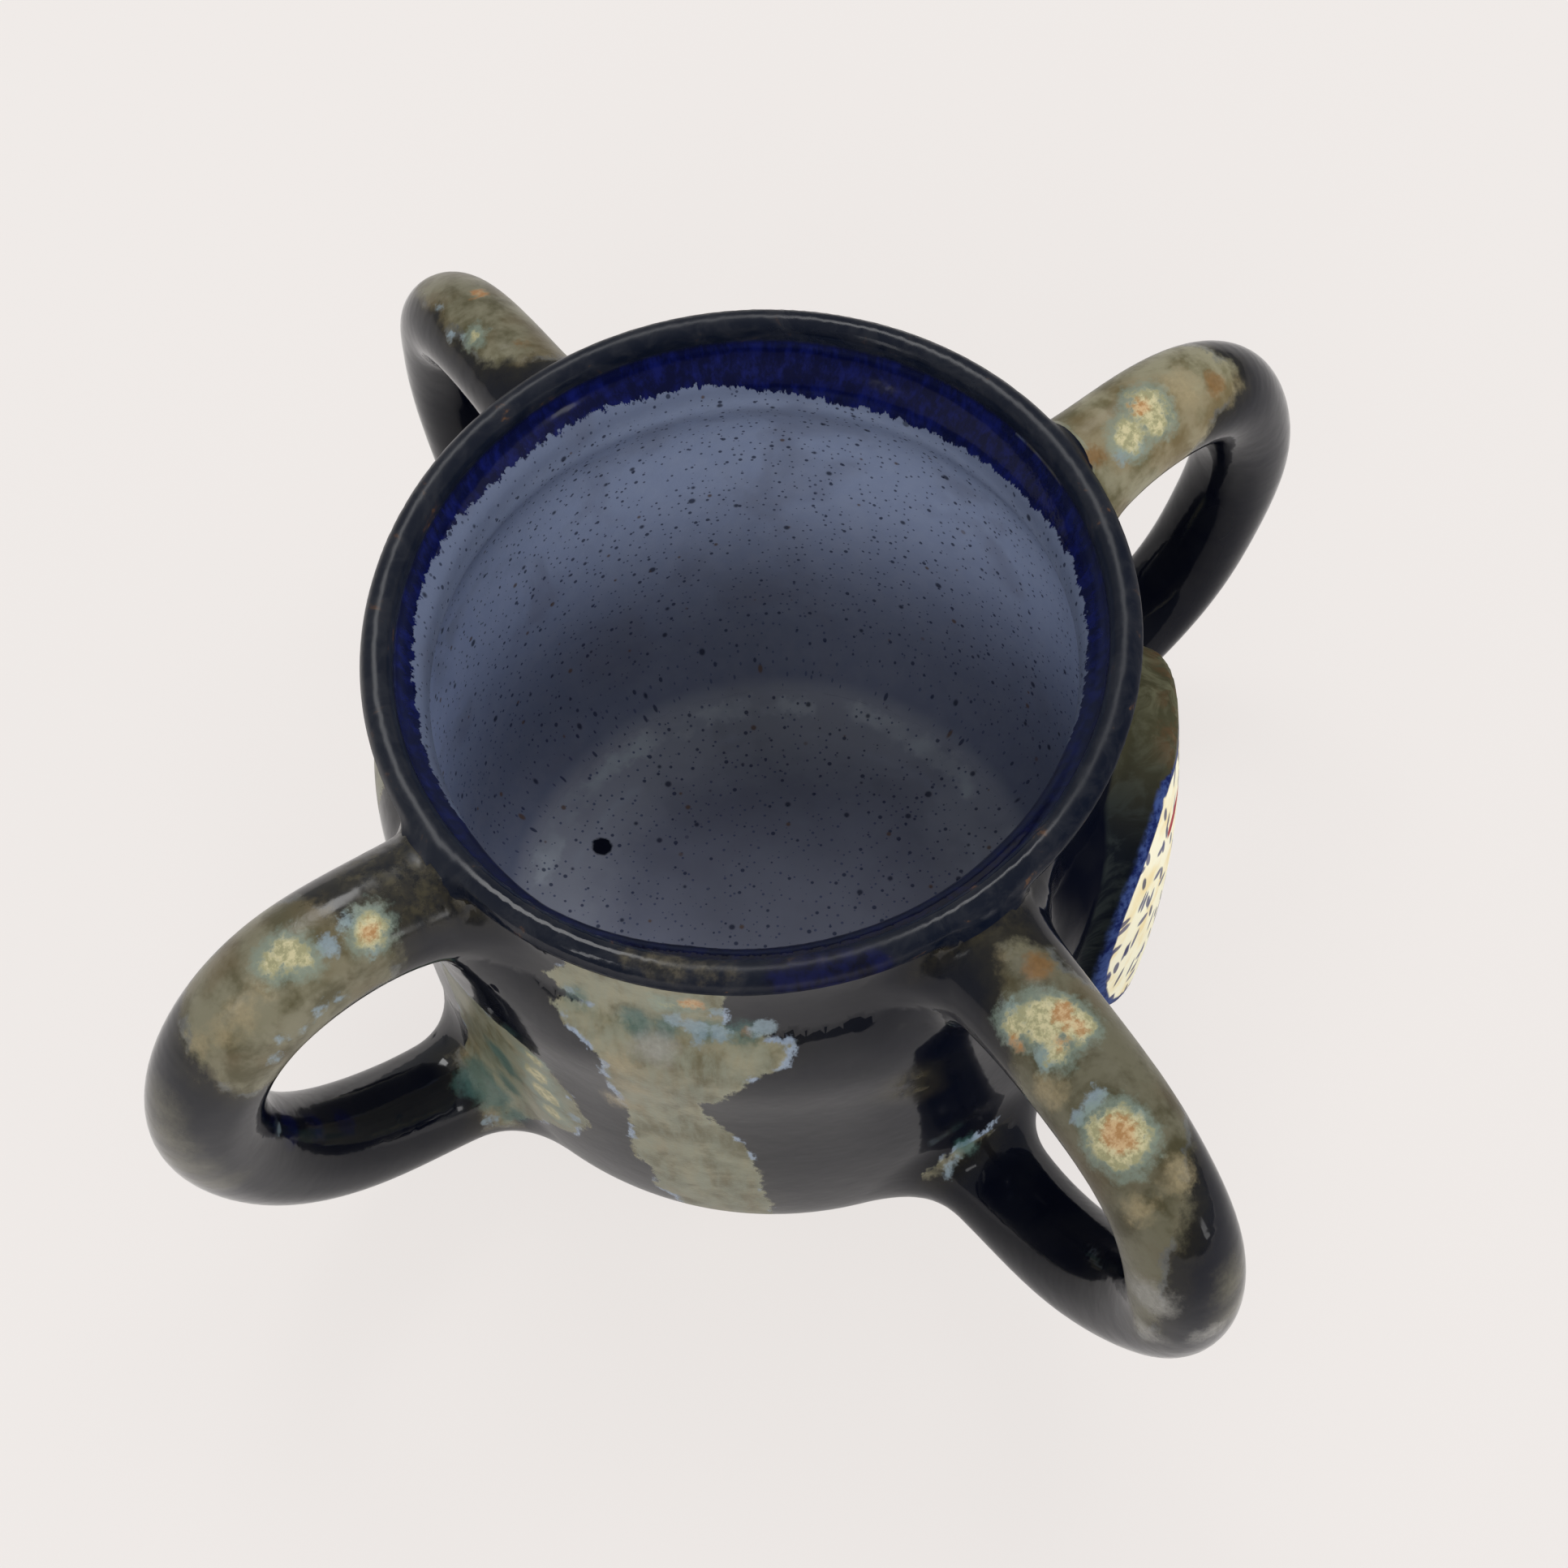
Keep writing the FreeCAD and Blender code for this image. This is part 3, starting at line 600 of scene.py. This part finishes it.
def mug_mesh():
    """The mug's skin: even quads drawn onto the smooth form worked out above."""
    skin = voxel_skin(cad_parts["mug"].data.copy(), VOXEL * MM)
    points = settle(read_points(skin) / MM)
    flat = np.empty(len(skin.edges) * 2, np.int64)
    skin.edges.foreach_get("vertices", flat)
    edges = flat.reshape(-1, 2)
    for turn in range(7):
        if turn in (1, 2, 3, 4):
            points = relax(points, edges, 0.5)
        gap, way = slope(points)
        steep = np.maximum((way ** 2).sum(1), 0.2)
        move = np.clip(gap / steep, -1.5, 1.5)
        points = points - way * move[:, None]
    points[:, 2] = np.maximum(points[:, 2], 0)
    gap, way = slope(points)
    normals = way / np.maximum(np.linalg.norm(way, axis=1), 1e-6)[:, None]
    skin.vertices.foreach_set("co", (points * MM).ravel())
    skin.update()
    return skin, points, normals


skin, points, normals = mug_mesh()
mug = bpy.data.objects.new("mug_glazed", skin)
bpy.context.scene.collection.objects.link(mug)
skin.shade_smooth()
skin.normals_split_custom_set_from_vertices(normals.tolist())
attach(mug, "root")
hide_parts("mug")


def tint(red, green, blue):
    """A colour given as seen on a screen, turned to light."""
    return tuple(c / 12.92 if c < 0.04045 else ((c + 0.055) / 1.055) ** 2.4
                 for c in (red / 255, green / 255, blue / 255)) + (1.0,)


class Nodes:
    """Short ways to build a node tree; a value is a number, a colour or an output."""

    def __init__(self, material):
        material.use_nodes = True
        self.tree = material.node_tree
        self.shader = self.tree.nodes["Principled BSDF"]

    def put(self, socket, value):
        if isinstance(value, bpy.types.NodeSocket):
            self.tree.links.new(value, socket)
        else:
            socket.default_value = value

    def math(self, operation, one, two=0.0, clamp=False):
        node = self.tree.nodes.new("ShaderNodeMath")
        node.operation = operation
        node.use_clamp = clamp
        self.put(node.inputs[0], one)
        self.put(node.inputs[1], two)
        return node.outputs[0]

    def vector(self, operation, one, two=(0, 0, 0)):
        node = self.tree.nodes.new("ShaderNodeVectorMath")
        node.operation = operation
        self.put(node.inputs[0], one)
        self.put(node.inputs[1], two)
        return node.outputs[0]

    def plus(self, value, *parts):
        """The value with weighted parts added to it."""
        for part, weight in parts:
            node = self.tree.nodes.new("ShaderNodeMath")
            node.operation = "MULTIPLY_ADD"
            self.put(node.inputs[0], part)
            self.put(node.inputs[1], weight)
            self.put(node.inputs[2], value)
            value = node.outputs[0]
        return value

    def length(self, one):
        node = self.tree.nodes.new("ShaderNodeVectorMath")
        node.operation = "LENGTH"
        self.put(node.inputs[0], one)
        return node.outputs["Value"]

    def rise(self, value, low, high, start=0.0, end=1.0):
        """Goes softly from start to end while the value goes from low to high."""
        node = self.tree.nodes.new("ShaderNodeMapRange")
        node.interpolation_type = "SMOOTHSTEP"
        self.put(node.inputs["Value"], value)
        self.put(node.inputs["From Min"], low)
        self.put(node.inputs["From Max"], high)
        self.put(node.inputs["To Min"], start)
        self.put(node.inputs["To Max"], end)
        return node.outputs["Result"]

    def under(self, value, edge, soft):
        return self.rise(value, edge - soft, edge + soft, 1.0, 0.0)

    def blend(self, share, one, two):
        node = self.tree.nodes.new("ShaderNodeMix")
        node.data_type = "RGBA"
        self.put(node.inputs[0], share)
        self.put(node.inputs[6], one)
        self.put(node.inputs[7], two)
        return node.outputs[2]

    def level(self, share, one, two):
        node = self.tree.nodes.new("ShaderNodeMix")
        self.put(node.inputs[0], share)
        self.put(node.inputs[2], one)
        self.put(node.inputs[3], two)
        return node.outputs[0]

    def field(self, name):
        node = self.tree.nodes.new("ShaderNodeAttribute")
        node.attribute_name = name
        return node.outputs["Fac"]

    def place(self):
        """Position on the piece in millimetres."""
        node = self.tree.nodes.new("ShaderNodeTexCoord")
        return self.vector("MULTIPLY", node.outputs["Object"], (1000, 1000, 1000))

    def noise(self, place, size, detail=2.0, rough=0.5, twist=0.0):
        node = self.tree.nodes.new("ShaderNodeTexNoise")
        self.put(node.inputs["Vector"], place)
        node.inputs["Scale"].default_value = 1 / size
        node.inputs["Detail"].default_value = detail
        node.inputs["Roughness"].default_value = rough
        node.inputs["Distortion"].default_value = twist
        return node.outputs["Fac"]

    def cells(self, place, size):
        """Nearest cell: distance to its middle and a random number of its own."""
        node = self.tree.nodes.new("ShaderNodeTexVoronoi")
        node.voronoi_dimensions = "2D"
        self.put(node.inputs["Vector"], place)
        node.inputs["Scale"].default_value = 1 / size
        split = self.tree.nodes.new("ShaderNodeSeparateColor")
        self.put(split.inputs[0], node.outputs["Color"])
        return node.outputs["Distance"], split.outputs[0], split.outputs[1]

    def both(self, *shares):
        total = shares[0]
        for share in shares[1:]:
            total = self.math("MULTIPLY", total, share)
        return total


def glaze_material():
    material = bpy.data.materials.new("flowing_glaze")
    n = Nodes(material)
    place = n.place()
    drawn = n.vector("MULTIPLY", place, (1.0, 1.0, 0.22))
    broad = n.noise(place, 9.0, 3.0)
    medium = n.noise(place, 3.0, 4.0, 0.6)
    fine = n.noise(place, 0.7, 3.0, 0.6)
    streak = n.noise(drawn, 1.6, 4.0, 0.65)
    grain = n.noise(place, 1.0, 3.0, 0.7)
    fray = n.math("SUBTRACT", grain, 0.5)
    ragged = n.plus(-0.5, (medium, 0.55), (streak, 0.45))

    # the dark glaze under everything
    colour = n.blend(n.rise(broad, 0.35, 0.65), tint(9, 12, 24), tint(18, 20, 28))
    rough = n.level(n.rise(medium, 0.3, 0.7), 0.07, 0.12)

    # faint olive haze
    haze = n.both(n.under(n.plus(n.field("haze"), (ragged, 9.0)), 0.0, 2.5),
                  n.rise(medium, 0.42, 0.6, 0.3, 0.8))
    colour = n.blend(haze, colour, n.blend(n.rise(streak, 0.3, 0.7), tint(16, 17, 16), tint(80, 73, 50)))
    rough = n.level(haze, rough, 0.42)

    # olive flows: sharp and lined with pale blue on the wall, soft on the handles
    run = n.field("lip_run")
    on_wall = n.under(run, FAR_RUN - 20.0, 8.0)
    edge = n.plus(n.field("flow"), (ragged, 5.0), (fray, 1.4))
    soft = n.level(on_wall, 1.1, 0.35)
    flow = n.rise(edge, n.math("MULTIPLY", soft, -1.0), soft, 1.0, 0.0)
    fade = n.both(n.under(edge, 1.6, 2.4), n.level(on_wall, 0.55, 0.15))
    mottle = n.plus(0.0, (medium, 0.6), (fine, 0.4))
    cloud = n.plus(0.0, (n.noise(place, 5.5, 3.0, 0.55, 0.4), 0.7), (mottle, 0.3))
    olive = n.blend(n.rise(cloud, 0.38, 0.6), tint(98, 92, 64), tint(148, 143, 118))
    olive = n.blend(n.both(n.rise(broad, 0.48, 0.66), n.level(on_wall, 0.42, 0.2)), olive, tint(126, 106, 74))
    olive = n.blend(n.both(on_wall, n.rise(streak, 0.3, 0.7), 0.7), olive, tint(136, 140, 122))
    # painted light and shade: each handle's olive is darkened or lightened for how the light falls on it
    olive = n.vector("MULTIPLY", olive, n.field("shade"))
    colour = n.blend(fade, colour, tint(52, 48, 34))
    colour = n.blend(flow, colour, olive)
    lining = n.both(n.rise(edge, -0.9, -0.2), n.under(edge, 0.3, 0.3), n.level(on_wall, 0.12, 1.0),
                    n.rise(n.noise(place, 7.0, 2.0), 0.5, 0.56))
    colour = n.blend(lining, colour, n.blend(fine, tint(112, 122, 140), tint(168, 184, 202)))
    rough = n.level(flow, rough, 0.3)

    # crystals and tints, and a painted sheen on the outer bends of the left and front handles
    for kind, wander, soft, tone, share in (
            ("teal", 5.0, 1.1, (66, 100, 96), 0.75),
            ("painted_sheen", 6.0, 3.0, (112, 108, 90), 0.6),
            ("sand", 6.0, 1.4, (158, 144, 112), 0.7),
            ("ochre", 4.0, 0.9, (128, 92, 50), 0.75),
            ("pale", 5.0, 1.6, (158, 156, 150), 0.65),
            ("sky", 4.4, 0.5, (140, 158, 168), 0.75)):
        mask = n.both(n.under(n.plus(n.field(kind), (ragged, wander), (fray, 2.2)), 0.0, soft), share)
        tones = [tint(*(min(c * k, 255) for c in tone)) for k in (0.8, 1.12)]
        colour = n.blend(mask, colour, n.blend(fine, *tones))
    cream = n.plus(n.field("cream"), (ragged, 4.6), (fray, 3.0))
    halo = n.both(n.under(cream, 1.0, 0.9), 0.6)
    colour = n.blend(halo, colour, n.blend(medium, tint(112, 132, 122), tint(152, 166, 152)))
    colour = n.blend(n.both(n.under(cream, -0.2, 0.5), 0.92), colour,
                     n.blend(n.rise(grain, 0.38, 0.62), tint(158, 154, 116), tint(208, 198, 156)))
    peach = n.plus(n.field("peach"), (ragged, 3.4), (fray, 2.4))
    colour = n.blend(n.both(n.under(peach, 0.2, 0.6), 0.8), colour,
                     n.blend(n.rise(grain, 0.38, 0.62), tint(176, 124, 74), tint(204, 166, 122)))

    # painted light and shade: the cream and peach spots take a little of each handle's factor too
    spots = n.math("MAXIMUM", halo, n.under(peach, 0.2, 0.6))
    colour = n.vector("MULTIPLY", colour, n.level(spots, 1.0, n.level(0.12, 1.0, n.field("shade"))))

    # the cup by its distance from the lip: rolled lip, cobalt band, matt inside
    along_lip = n.noise(n.vector("MULTIPLY", place, (1.0, 1.0, 1.6)), 5.0, 4.0, 0.65, 0.6)
    lip = n.both(n.rise(run, -4.2, -3.4), n.under(run, 4.2, 0.5))
    lip_tone = n.blend(n.rise(along_lip, 0.42, 0.62), tint(12, 18, 32), tint(30, 33, 42))
    rusty = n.both(n.rise(along_lip, 0.6, 0.72), n.rise(streak, 0.4, 0.6), 0.7)
    lip_tone = n.blend(rusty, lip_tone, tint(110, 76, 46))
    colour = n.blend(lip, colour, lip_tone)
    for kind, tones, share in (("cobalt", ((2, 3, 24), (9, 14, 58)), 0.9),
                               ("umber", ((40, 38, 34), (108, 100, 80)), 0.7)):
        mask = n.both(n.under(n.plus(n.field(kind), (ragged, 4.0), (fray, 1.6)), 0.0, 0.8), share)
        colour = n.blend(mask, colour, n.blend(n.rise(streak, 0.35, 0.65), *(tint(*tone) for tone in tones)))
    rough = n.level(lip, rough, n.plus(n.field("lip_polish"), (along_lip, 0.1)))
    within = n.under(run, -3.8, 0.5)
    blue = n.blend(n.rise(streak, 0.4, 0.7), tint(8, 13, 52), tint(18, 26, 92))
    # painted light and shade: the band's blue is darkened by azimuth, most on the near side
    colour = n.blend(within, colour, n.vector("MULTIPLY", blue, n.field("inner_painted_light")))
    rough = n.level(within, rough, 0.15)
    torn = n.plus(n.field("band"), (n.math("SUBTRACT", n.noise(drawn, 1.2, 5.0, 0.7), 0.5), 4.2))
    matt = n.under(torn, 0.0, 0.12)
    split = n.tree.nodes.new("ShaderNodeSeparateXYZ")
    n.put(split.inputs[0], place)
    east, north, height = split.outputs
    spread = n.length(n.vector("MULTIPLY", place, (1, 1, 0)))
    round_wall = n.tree.nodes.new("ShaderNodeCombineXYZ")
    n.put(round_wall.inputs[0], n.math("MULTIPLY", n.math("ARCTAN2", north, east), 44.0))
    n.put(round_wall.inputs[1], height)
    pick = n.tree.nodes.new("ShaderNodeMix")
    pick.data_type = "VECTOR"
    n.put(pick.inputs[0], n.under(height, 10.0, 0.1))
    n.put(pick.inputs[4], round_wall.outputs[0])
    n.put(pick.inputs[5], place)
    unrolled = pick.outputs[1]
    # painted shade: the inside goes darker towards the floor, as shade deepens in the hollow
    depth = n.rise(run, -70.0, -22.0)
    inner = n.blend(depth, tint(92, 97, 113), tint(150, 162, 190))
    inner = n.blend(n.both(n.rise(medium, 0.35, 0.7), 0.35), inner,
                    n.blend(depth, tint(106, 109, 121), tint(164, 174, 198)))
    inner = n.blend(n.both(n.under(height, 9.5, 1.5), 0.7), inner,
                    n.blend(broad, tint(92, 93, 102), tint(116, 118, 128)))
    ring, low_down = n.plus(spread, (ragged, 7.0)), n.under(height, 10.5, 0.8)
    inner = n.blend(n.both(low_down, n.rise(ring, 18.0, 30.0), 0.62), inner, tint(134, 136, 142))
    rim = n.both(low_down, n.rise(ring, 31.5, 33.0), n.under(ring, 34.6, 1.0), n.rise(broad, 0.42, 0.6), 0.5)
    inner = n.blend(rim, inner, tint(158, 164, 166))
    # painted shade: a darker, bluer strip just under the band, where the throat overhangs the wall
    inner = n.blend(n.both(n.rise(run, -13.5, -10.0), 0.62), inner, tint(78, 88, 114))
    off_ring = n.math("ABSOLUTE", n.math("SUBTRACT", spread, n.level(broad, 27.5, 30.5)))
    turned = n.both(n.under(off_ring, 0.5, 0.6), n.under(height, 9.0, 0.2),
                    n.rise(n.noise(place, 11.0, 2.0), 0.42, 0.6))
    inner = n.blend(n.both(turned, 0.3), inner, tint(136, 142, 152))
    patches = n.rise(n.noise(place, 14.0, 3.0, 0.5, 0.5), 0.5, 0.7)
    inner = n.blend(n.both(patches, 0.3), inner, tint(88, 88, 100))
    for size, least, most, tone in ((1.3, 0.35, 0.16, (60, 66, 88)), (2.3, 0.5, 0.24, (32, 38, 60)),
                                    (6.0, 0.6, 0.38, (18, 22, 42)), (5.0, 0.85, 0.3, (84, 64, 48))):
        gap, chance, extent = n.cells(n.vector("ADD", unrolled, (size * 7, 3.0, 0.0)), size)
        reach = n.math("MULTIPLY", n.math("ADD", extent, 0.3), most / size)
        dot = n.under(n.math("SUBTRACT", gap, reach), 0.0, 0.03)
        dot = n.both(n.rise(chance, least - 0.01, least + 0.01), dot)
        inner = n.blend(n.both(dot, 0.8), inner, tint(*tone))
    # painted light and shade: the inside's tones are lightened or darkened by azimuth
    colour = n.blend(matt, colour, n.vector("MULTIPLY", inner, n.field("inner_painted_light")))
    rough = n.level(matt, rough, 0.7)
    pit = n.plus(n.field("pit"), (ragged, 1.2))
    colour = n.blend(n.under(pit, 0.0, 0.2), colour, tint(10, 14, 30))

    # the medallion: the olive of its side laps over the edge, then a blue line, then the cream face
    proud = n.field("disc_proud")
    lap = n.rise(n.field("disc_across"), -8.0, 0.0, 0.2, 3.2)
    inset = n.math("SUBTRACT", n.field("disc_within"), lap)
    medal = n.rise(n.field("disc_within"), -2.2, -1.4)
    swirl = n.noise(n.vector("MULTIPLY", place, (0.35, 0.35, 1.0)), 2.2, 4.0, 0.65, 0.8)
    side_tone = n.blend(n.rise(n.field("disc_across"), -16.0, 2.0), tint(20, 24, 30), tint(74, 72, 54))
    swirl_tone = n.blend(n.rise(n.field("disc_across"), -14.0, 6.0), tint(38, 43, 44), tint(102, 101, 80))
    side_tone = n.blend(n.rise(swirl, 0.42, 0.62), side_tone, swirl_tone)
    rust = n.both(n.rise(proud, -3.4, -0.6), n.rise(n.field("disc_across"), -7.0, 0.0),
                  n.rise(medium, 0.45, 0.6))
    side_tone = n.blend(n.both(rust, 0.45), side_tone, tint(104, 72, 48))
    colour = n.blend(medal, colour, side_tone)
    fringe = n.plus(inset, (ragged, 0.8))
    line = n.both(n.rise(fringe, -0.3, 0.1), n.rise(proud, -1.2, -0.7))
    colour = n.blend(line, colour, n.blend(n.rise(mottle, 0.4, 0.6), tint(24, 34, 84), tint(64, 82, 134)))
    face = n.both(n.rise(n.plus(inset, (ragged, 1.2)), 1.0, 1.4), n.rise(proud, -0.8, -0.4))
    join = n.tree.nodes.new("ShaderNodeCombineXYZ")
    n.put(join.inputs[0], n.field("disc_across"))
    n.put(join.inputs[1], n.field("disc_up"))
    sheet = join.outputs[0]
    paper = n.blend(n.rise(n.noise(sheet, 6.0, 3.0), 0.45, 0.7), tint(255, 250, 222), tint(246, 228, 176))
    for turn, stretch, shift in ((0.5, 0.34, 0.0), (-0.9, 0.38, 31.0), (1.5, 0.42, 67.0)):
        spin = n.tree.nodes.new("ShaderNodeVectorRotate")
        n.put(spin.inputs["Vector"], n.vector("ADD", sheet, (shift, shift, 0)))
        spin.inputs["Angle"].default_value = turn
        bent = n.vector("MULTIPLY", spin.outputs[0], (stretch, 1.0, 1.0))
        gap, chance, extent = n.cells(bent, 2.2)
        dash = n.both(n.rise(chance, 0.62, 0.64), n.under(n.plus(gap, (ragged, 0.25)), 0.24, 0.05))
        paper = n.blend(n.both(dash, 0.85), paper, n.blend(extent, tint(34, 38, 88), tint(76, 80, 124)))
    colour = n.blend(face, colour, paper)
    dab = n.length(n.vector("MULTIPLY", n.vector("SUBTRACT", sheet, (-3.6, 11.0, 0.0)), (0.35, 0.9, 1.0)))
    dab = n.both(n.under(n.plus(dab, (ragged, 1.0)), 1.3, 0.2), face)
    colour = n.blend(dab, colour, tint(168, 40, 54))
    rough = n.level(medal, rough, 0.28)

    n.put(n.shader.inputs["Base Color"], colour)
    n.put(n.shader.inputs["Roughness"], rough)
    mirror = n.level(n.under(run, 1.0, 2.0), n.field("mirror"), n.level(matt, 1.38, 1.2))
    n.put(n.shader.inputs["IOR"], n.level(n.both(n.rise(run, 2.0, 3.2), n.under(run, 6.5, 1.0)), mirror, 1.1))

    # small relief: wavy glaze, fine throwing lines and a grainy inside
    # its masks leave the ragged edges out, because a bump works its height out three times
    wander = n.plus(height, (n.noise(place, 16.0, 1.0), 3.0))
    lines = n.math("SINE", n.math("MULTIPLY", wander, 2 * math.pi / 1.35))
    thrown = n.both(n.rise(run, 10.0, 16.0), n.under(run, 80.0, 2.0), 0.0005)
    on_flow = n.rise(n.field("flow"), -1.0, 1.0, 0.03, 0.0)
    on_lip = n.level(lip, 0.0, 0.012)
    inside = n.rise(n.field("band"), -0.3, 0.3, 0.04, 0.0)
    relief = n.plus(0.0, (lines, thrown), (n.noise(place, 4.0, 2.0), 0.07),
                    (n.noise(place, 0.5, 2.0), on_flow), (n.noise(place, 1.6, 3.0, 0.6), on_lip),
                    (n.noise(place, 0.6, 2.0), inside))
    bump = n.tree.nodes.new("ShaderNodeBump")
    bump.inputs["Strength"].default_value = 1.0
    bump.inputs["Distance"].default_value = MM
    n.put(bump.inputs["Height"], relief)
    n.put(n.shader.inputs["Normal"], bump.outputs[0])
    return material


paint_fields(skin, points)
skin.materials.clear()
skin.materials.append(glaze_material())


def put_camera():
    """The camera where the photograph was taken from."""
    lift = math.radians(CAMERA_ELEVATION)
    back = Vector((0, -math.cos(lift), math.sin(lift)))
    right = Vector((1, 0, 0))
    up = back.cross(right)
    roll = math.radians(CAMERA_ROLL)
    turned_right = right * math.cos(roll) + up * math.sin(roll)
    turned_up = up * math.cos(roll) - right * math.sin(roll)
    focal = LENS / SENSOR * FRAME_PIXELS
    off_x = (LIP_CENTRE_PIXEL[0] - PICTURE_CENTRE_PIXEL[0]) / focal * CAMERA_DISTANCE
    off_y = -(LIP_CENTRE_PIXEL[1] - PICTURE_CENTRE_PIXEL[1]) / focal * CAMERA_DISTANCE
    spot = Vector((0, 0, LIP_HEIGHT)) + back * CAMERA_DISTANCE - turned_right * off_x - turned_up * off_y
    stand = Matrix((turned_right, turned_up, back)).transposed().to_4x4()
    stand.translation = spot * MM
    turn = Matrix.Rotation(math.radians(CAMERA_TURN), 4, "Z")
    data = bpy.data.cameras.new("camera")
    data.lens = LENS
    data.sensor_width = SENSOR
    data.clip_start = 0.01
    camera = bpy.data.objects.new("camera", data)
    bpy.context.scene.collection.objects.link(camera)
    camera.matrix_world = turn @ stand
    bpy.context.scene.camera = camera


def put_floor():
    """A pale table: seen by the camera and in the glaze it is mostly an even tone, with a soft shadow."""
    half = 3.0
    data = bpy.data.meshes.new("floor")
    corners = [(-half, -half, 0), (half, -half, 0), (half, half, 0), (-half, half, 0)]
    data.from_pydata(corners, [], [(0, 1, 2, 3)])
    floor = bpy.data.objects.new("floor", data)
    bpy.context.scene.collection.objects.link(floor)
    material = bpy.data.materials.new("table")
    n = Nodes(material)
    n.shader.inputs["Base Color"].default_value = tint(241, 236, 233)
    n.shader.inputs["Roughness"].default_value = 0.9
    n.shader.inputs["Specular IOR Level"].default_value = 0.0
    glow = n.tree.nodes.new("ShaderNodeEmission")
    glow.inputs["Color"].default_value = tint(241, 236, 233)
    path = n.tree.nodes.new("ShaderNodeLightPath")
    seen = n.math("MAXIMUM", n.math("MULTIPLY", path.outputs["Is Camera Ray"], EVEN_SHARE),
                  n.math("MULTIPLY", path.outputs["Is Glossy Ray"], GLAZE_SHARE))
    mix = n.tree.nodes.new("ShaderNodeMixShader")
    n.put(mix.inputs[0], seen)
    n.put(mix.inputs[1], n.shader.outputs[0])
    n.put(mix.inputs[2], glow.outputs[0])
    n.put(n.tree.nodes["Material Output"].inputs["Surface"], mix.outputs[0])
    data.materials.append(material)


def way_to(azimuth, elevation):
    turn, lift = math.radians(azimuth), math.radians(elevation)
    return Vector((math.cos(lift) * math.cos(turn), math.cos(lift) * math.sin(turn), math.sin(lift)))


def put_lamp(name, azimuth, elevation, distance, width, height, glow, in_glaze=True):
    """A soft square lamp that looks at the middle of the mug; the table's white is a glow of 1."""
    data = bpy.data.lights.new(name, "AREA")
    data.shape = "RECTANGLE"
    data.size = width
    data.size_y = height
    data.energy = glow * math.pi * width * height
    way = way_to(azimuth, elevation)
    lamp = bpy.data.objects.new(name, data)
    bpy.context.scene.collection.objects.link(lamp)
    lamp.rotation_euler = way.to_track_quat("Z", "Y").to_euler()
    lamp.location = way * distance + Vector((0, 0, 0.05))
    lamp.visible_glossy = in_glaze


def put_light():
    """An even room, dimmer low down behind the camera."""
    world = bpy.data.worlds.new("world")
    world.use_nodes = True
    tree = world.node_tree
    place = tree.nodes.new("ShaderNodeTexCoord")
    turn = tree.nodes.new("ShaderNodeVectorMath")
    turn.operation = "DOT_PRODUCT"
    turn.inputs[1].default_value = way_to(238, 8)
    tree.links.new(place.outputs["Generated"], turn.inputs[0])
    share = tree.nodes.new("ShaderNodeMapRange")
    share.interpolation_type = "SMOOTHSTEP"
    for name, value in (("From Min", 0.35), ("From Max", 0.85), ("To Min", 0.36), ("To Max", 0.14)):
        share.inputs[name].default_value = value
    tree.links.new(turn.outputs["Value"], share.inputs["Value"])
    tree.links.new(share.outputs["Result"], tree.nodes["Background"].inputs["Strength"])
    tree.nodes["Background"].inputs["Color"].default_value = (0.96, 0.98, 1.0, 1)
    bpy.context.scene.world = world
    put_lamp("window", 74, 58, 1.2, 0.5, 0.4, 5.0)
    put_lamp("side", 192, 38, 1.2, 0.1, 0.46, 3.5)
    put_lamp("edge", 290, 9, 1.2, 0.16, 0.16, 3.0)
    put_lamp("fill", 228, 36, 3.0, 2.0, 1.6, 4.2, in_glaze=False)
    put_lamp("low", 312, 4, 2.0, 1.0, 0.2, 20.0, in_glaze=False)
    put_lamp("above", 10, 62, 2.2, 1.0, 1.0, 2.8, in_glaze=False)


put_camera()
put_floor()
put_light()
bpy.context.scene.view_settings.view_transform = "Standard"
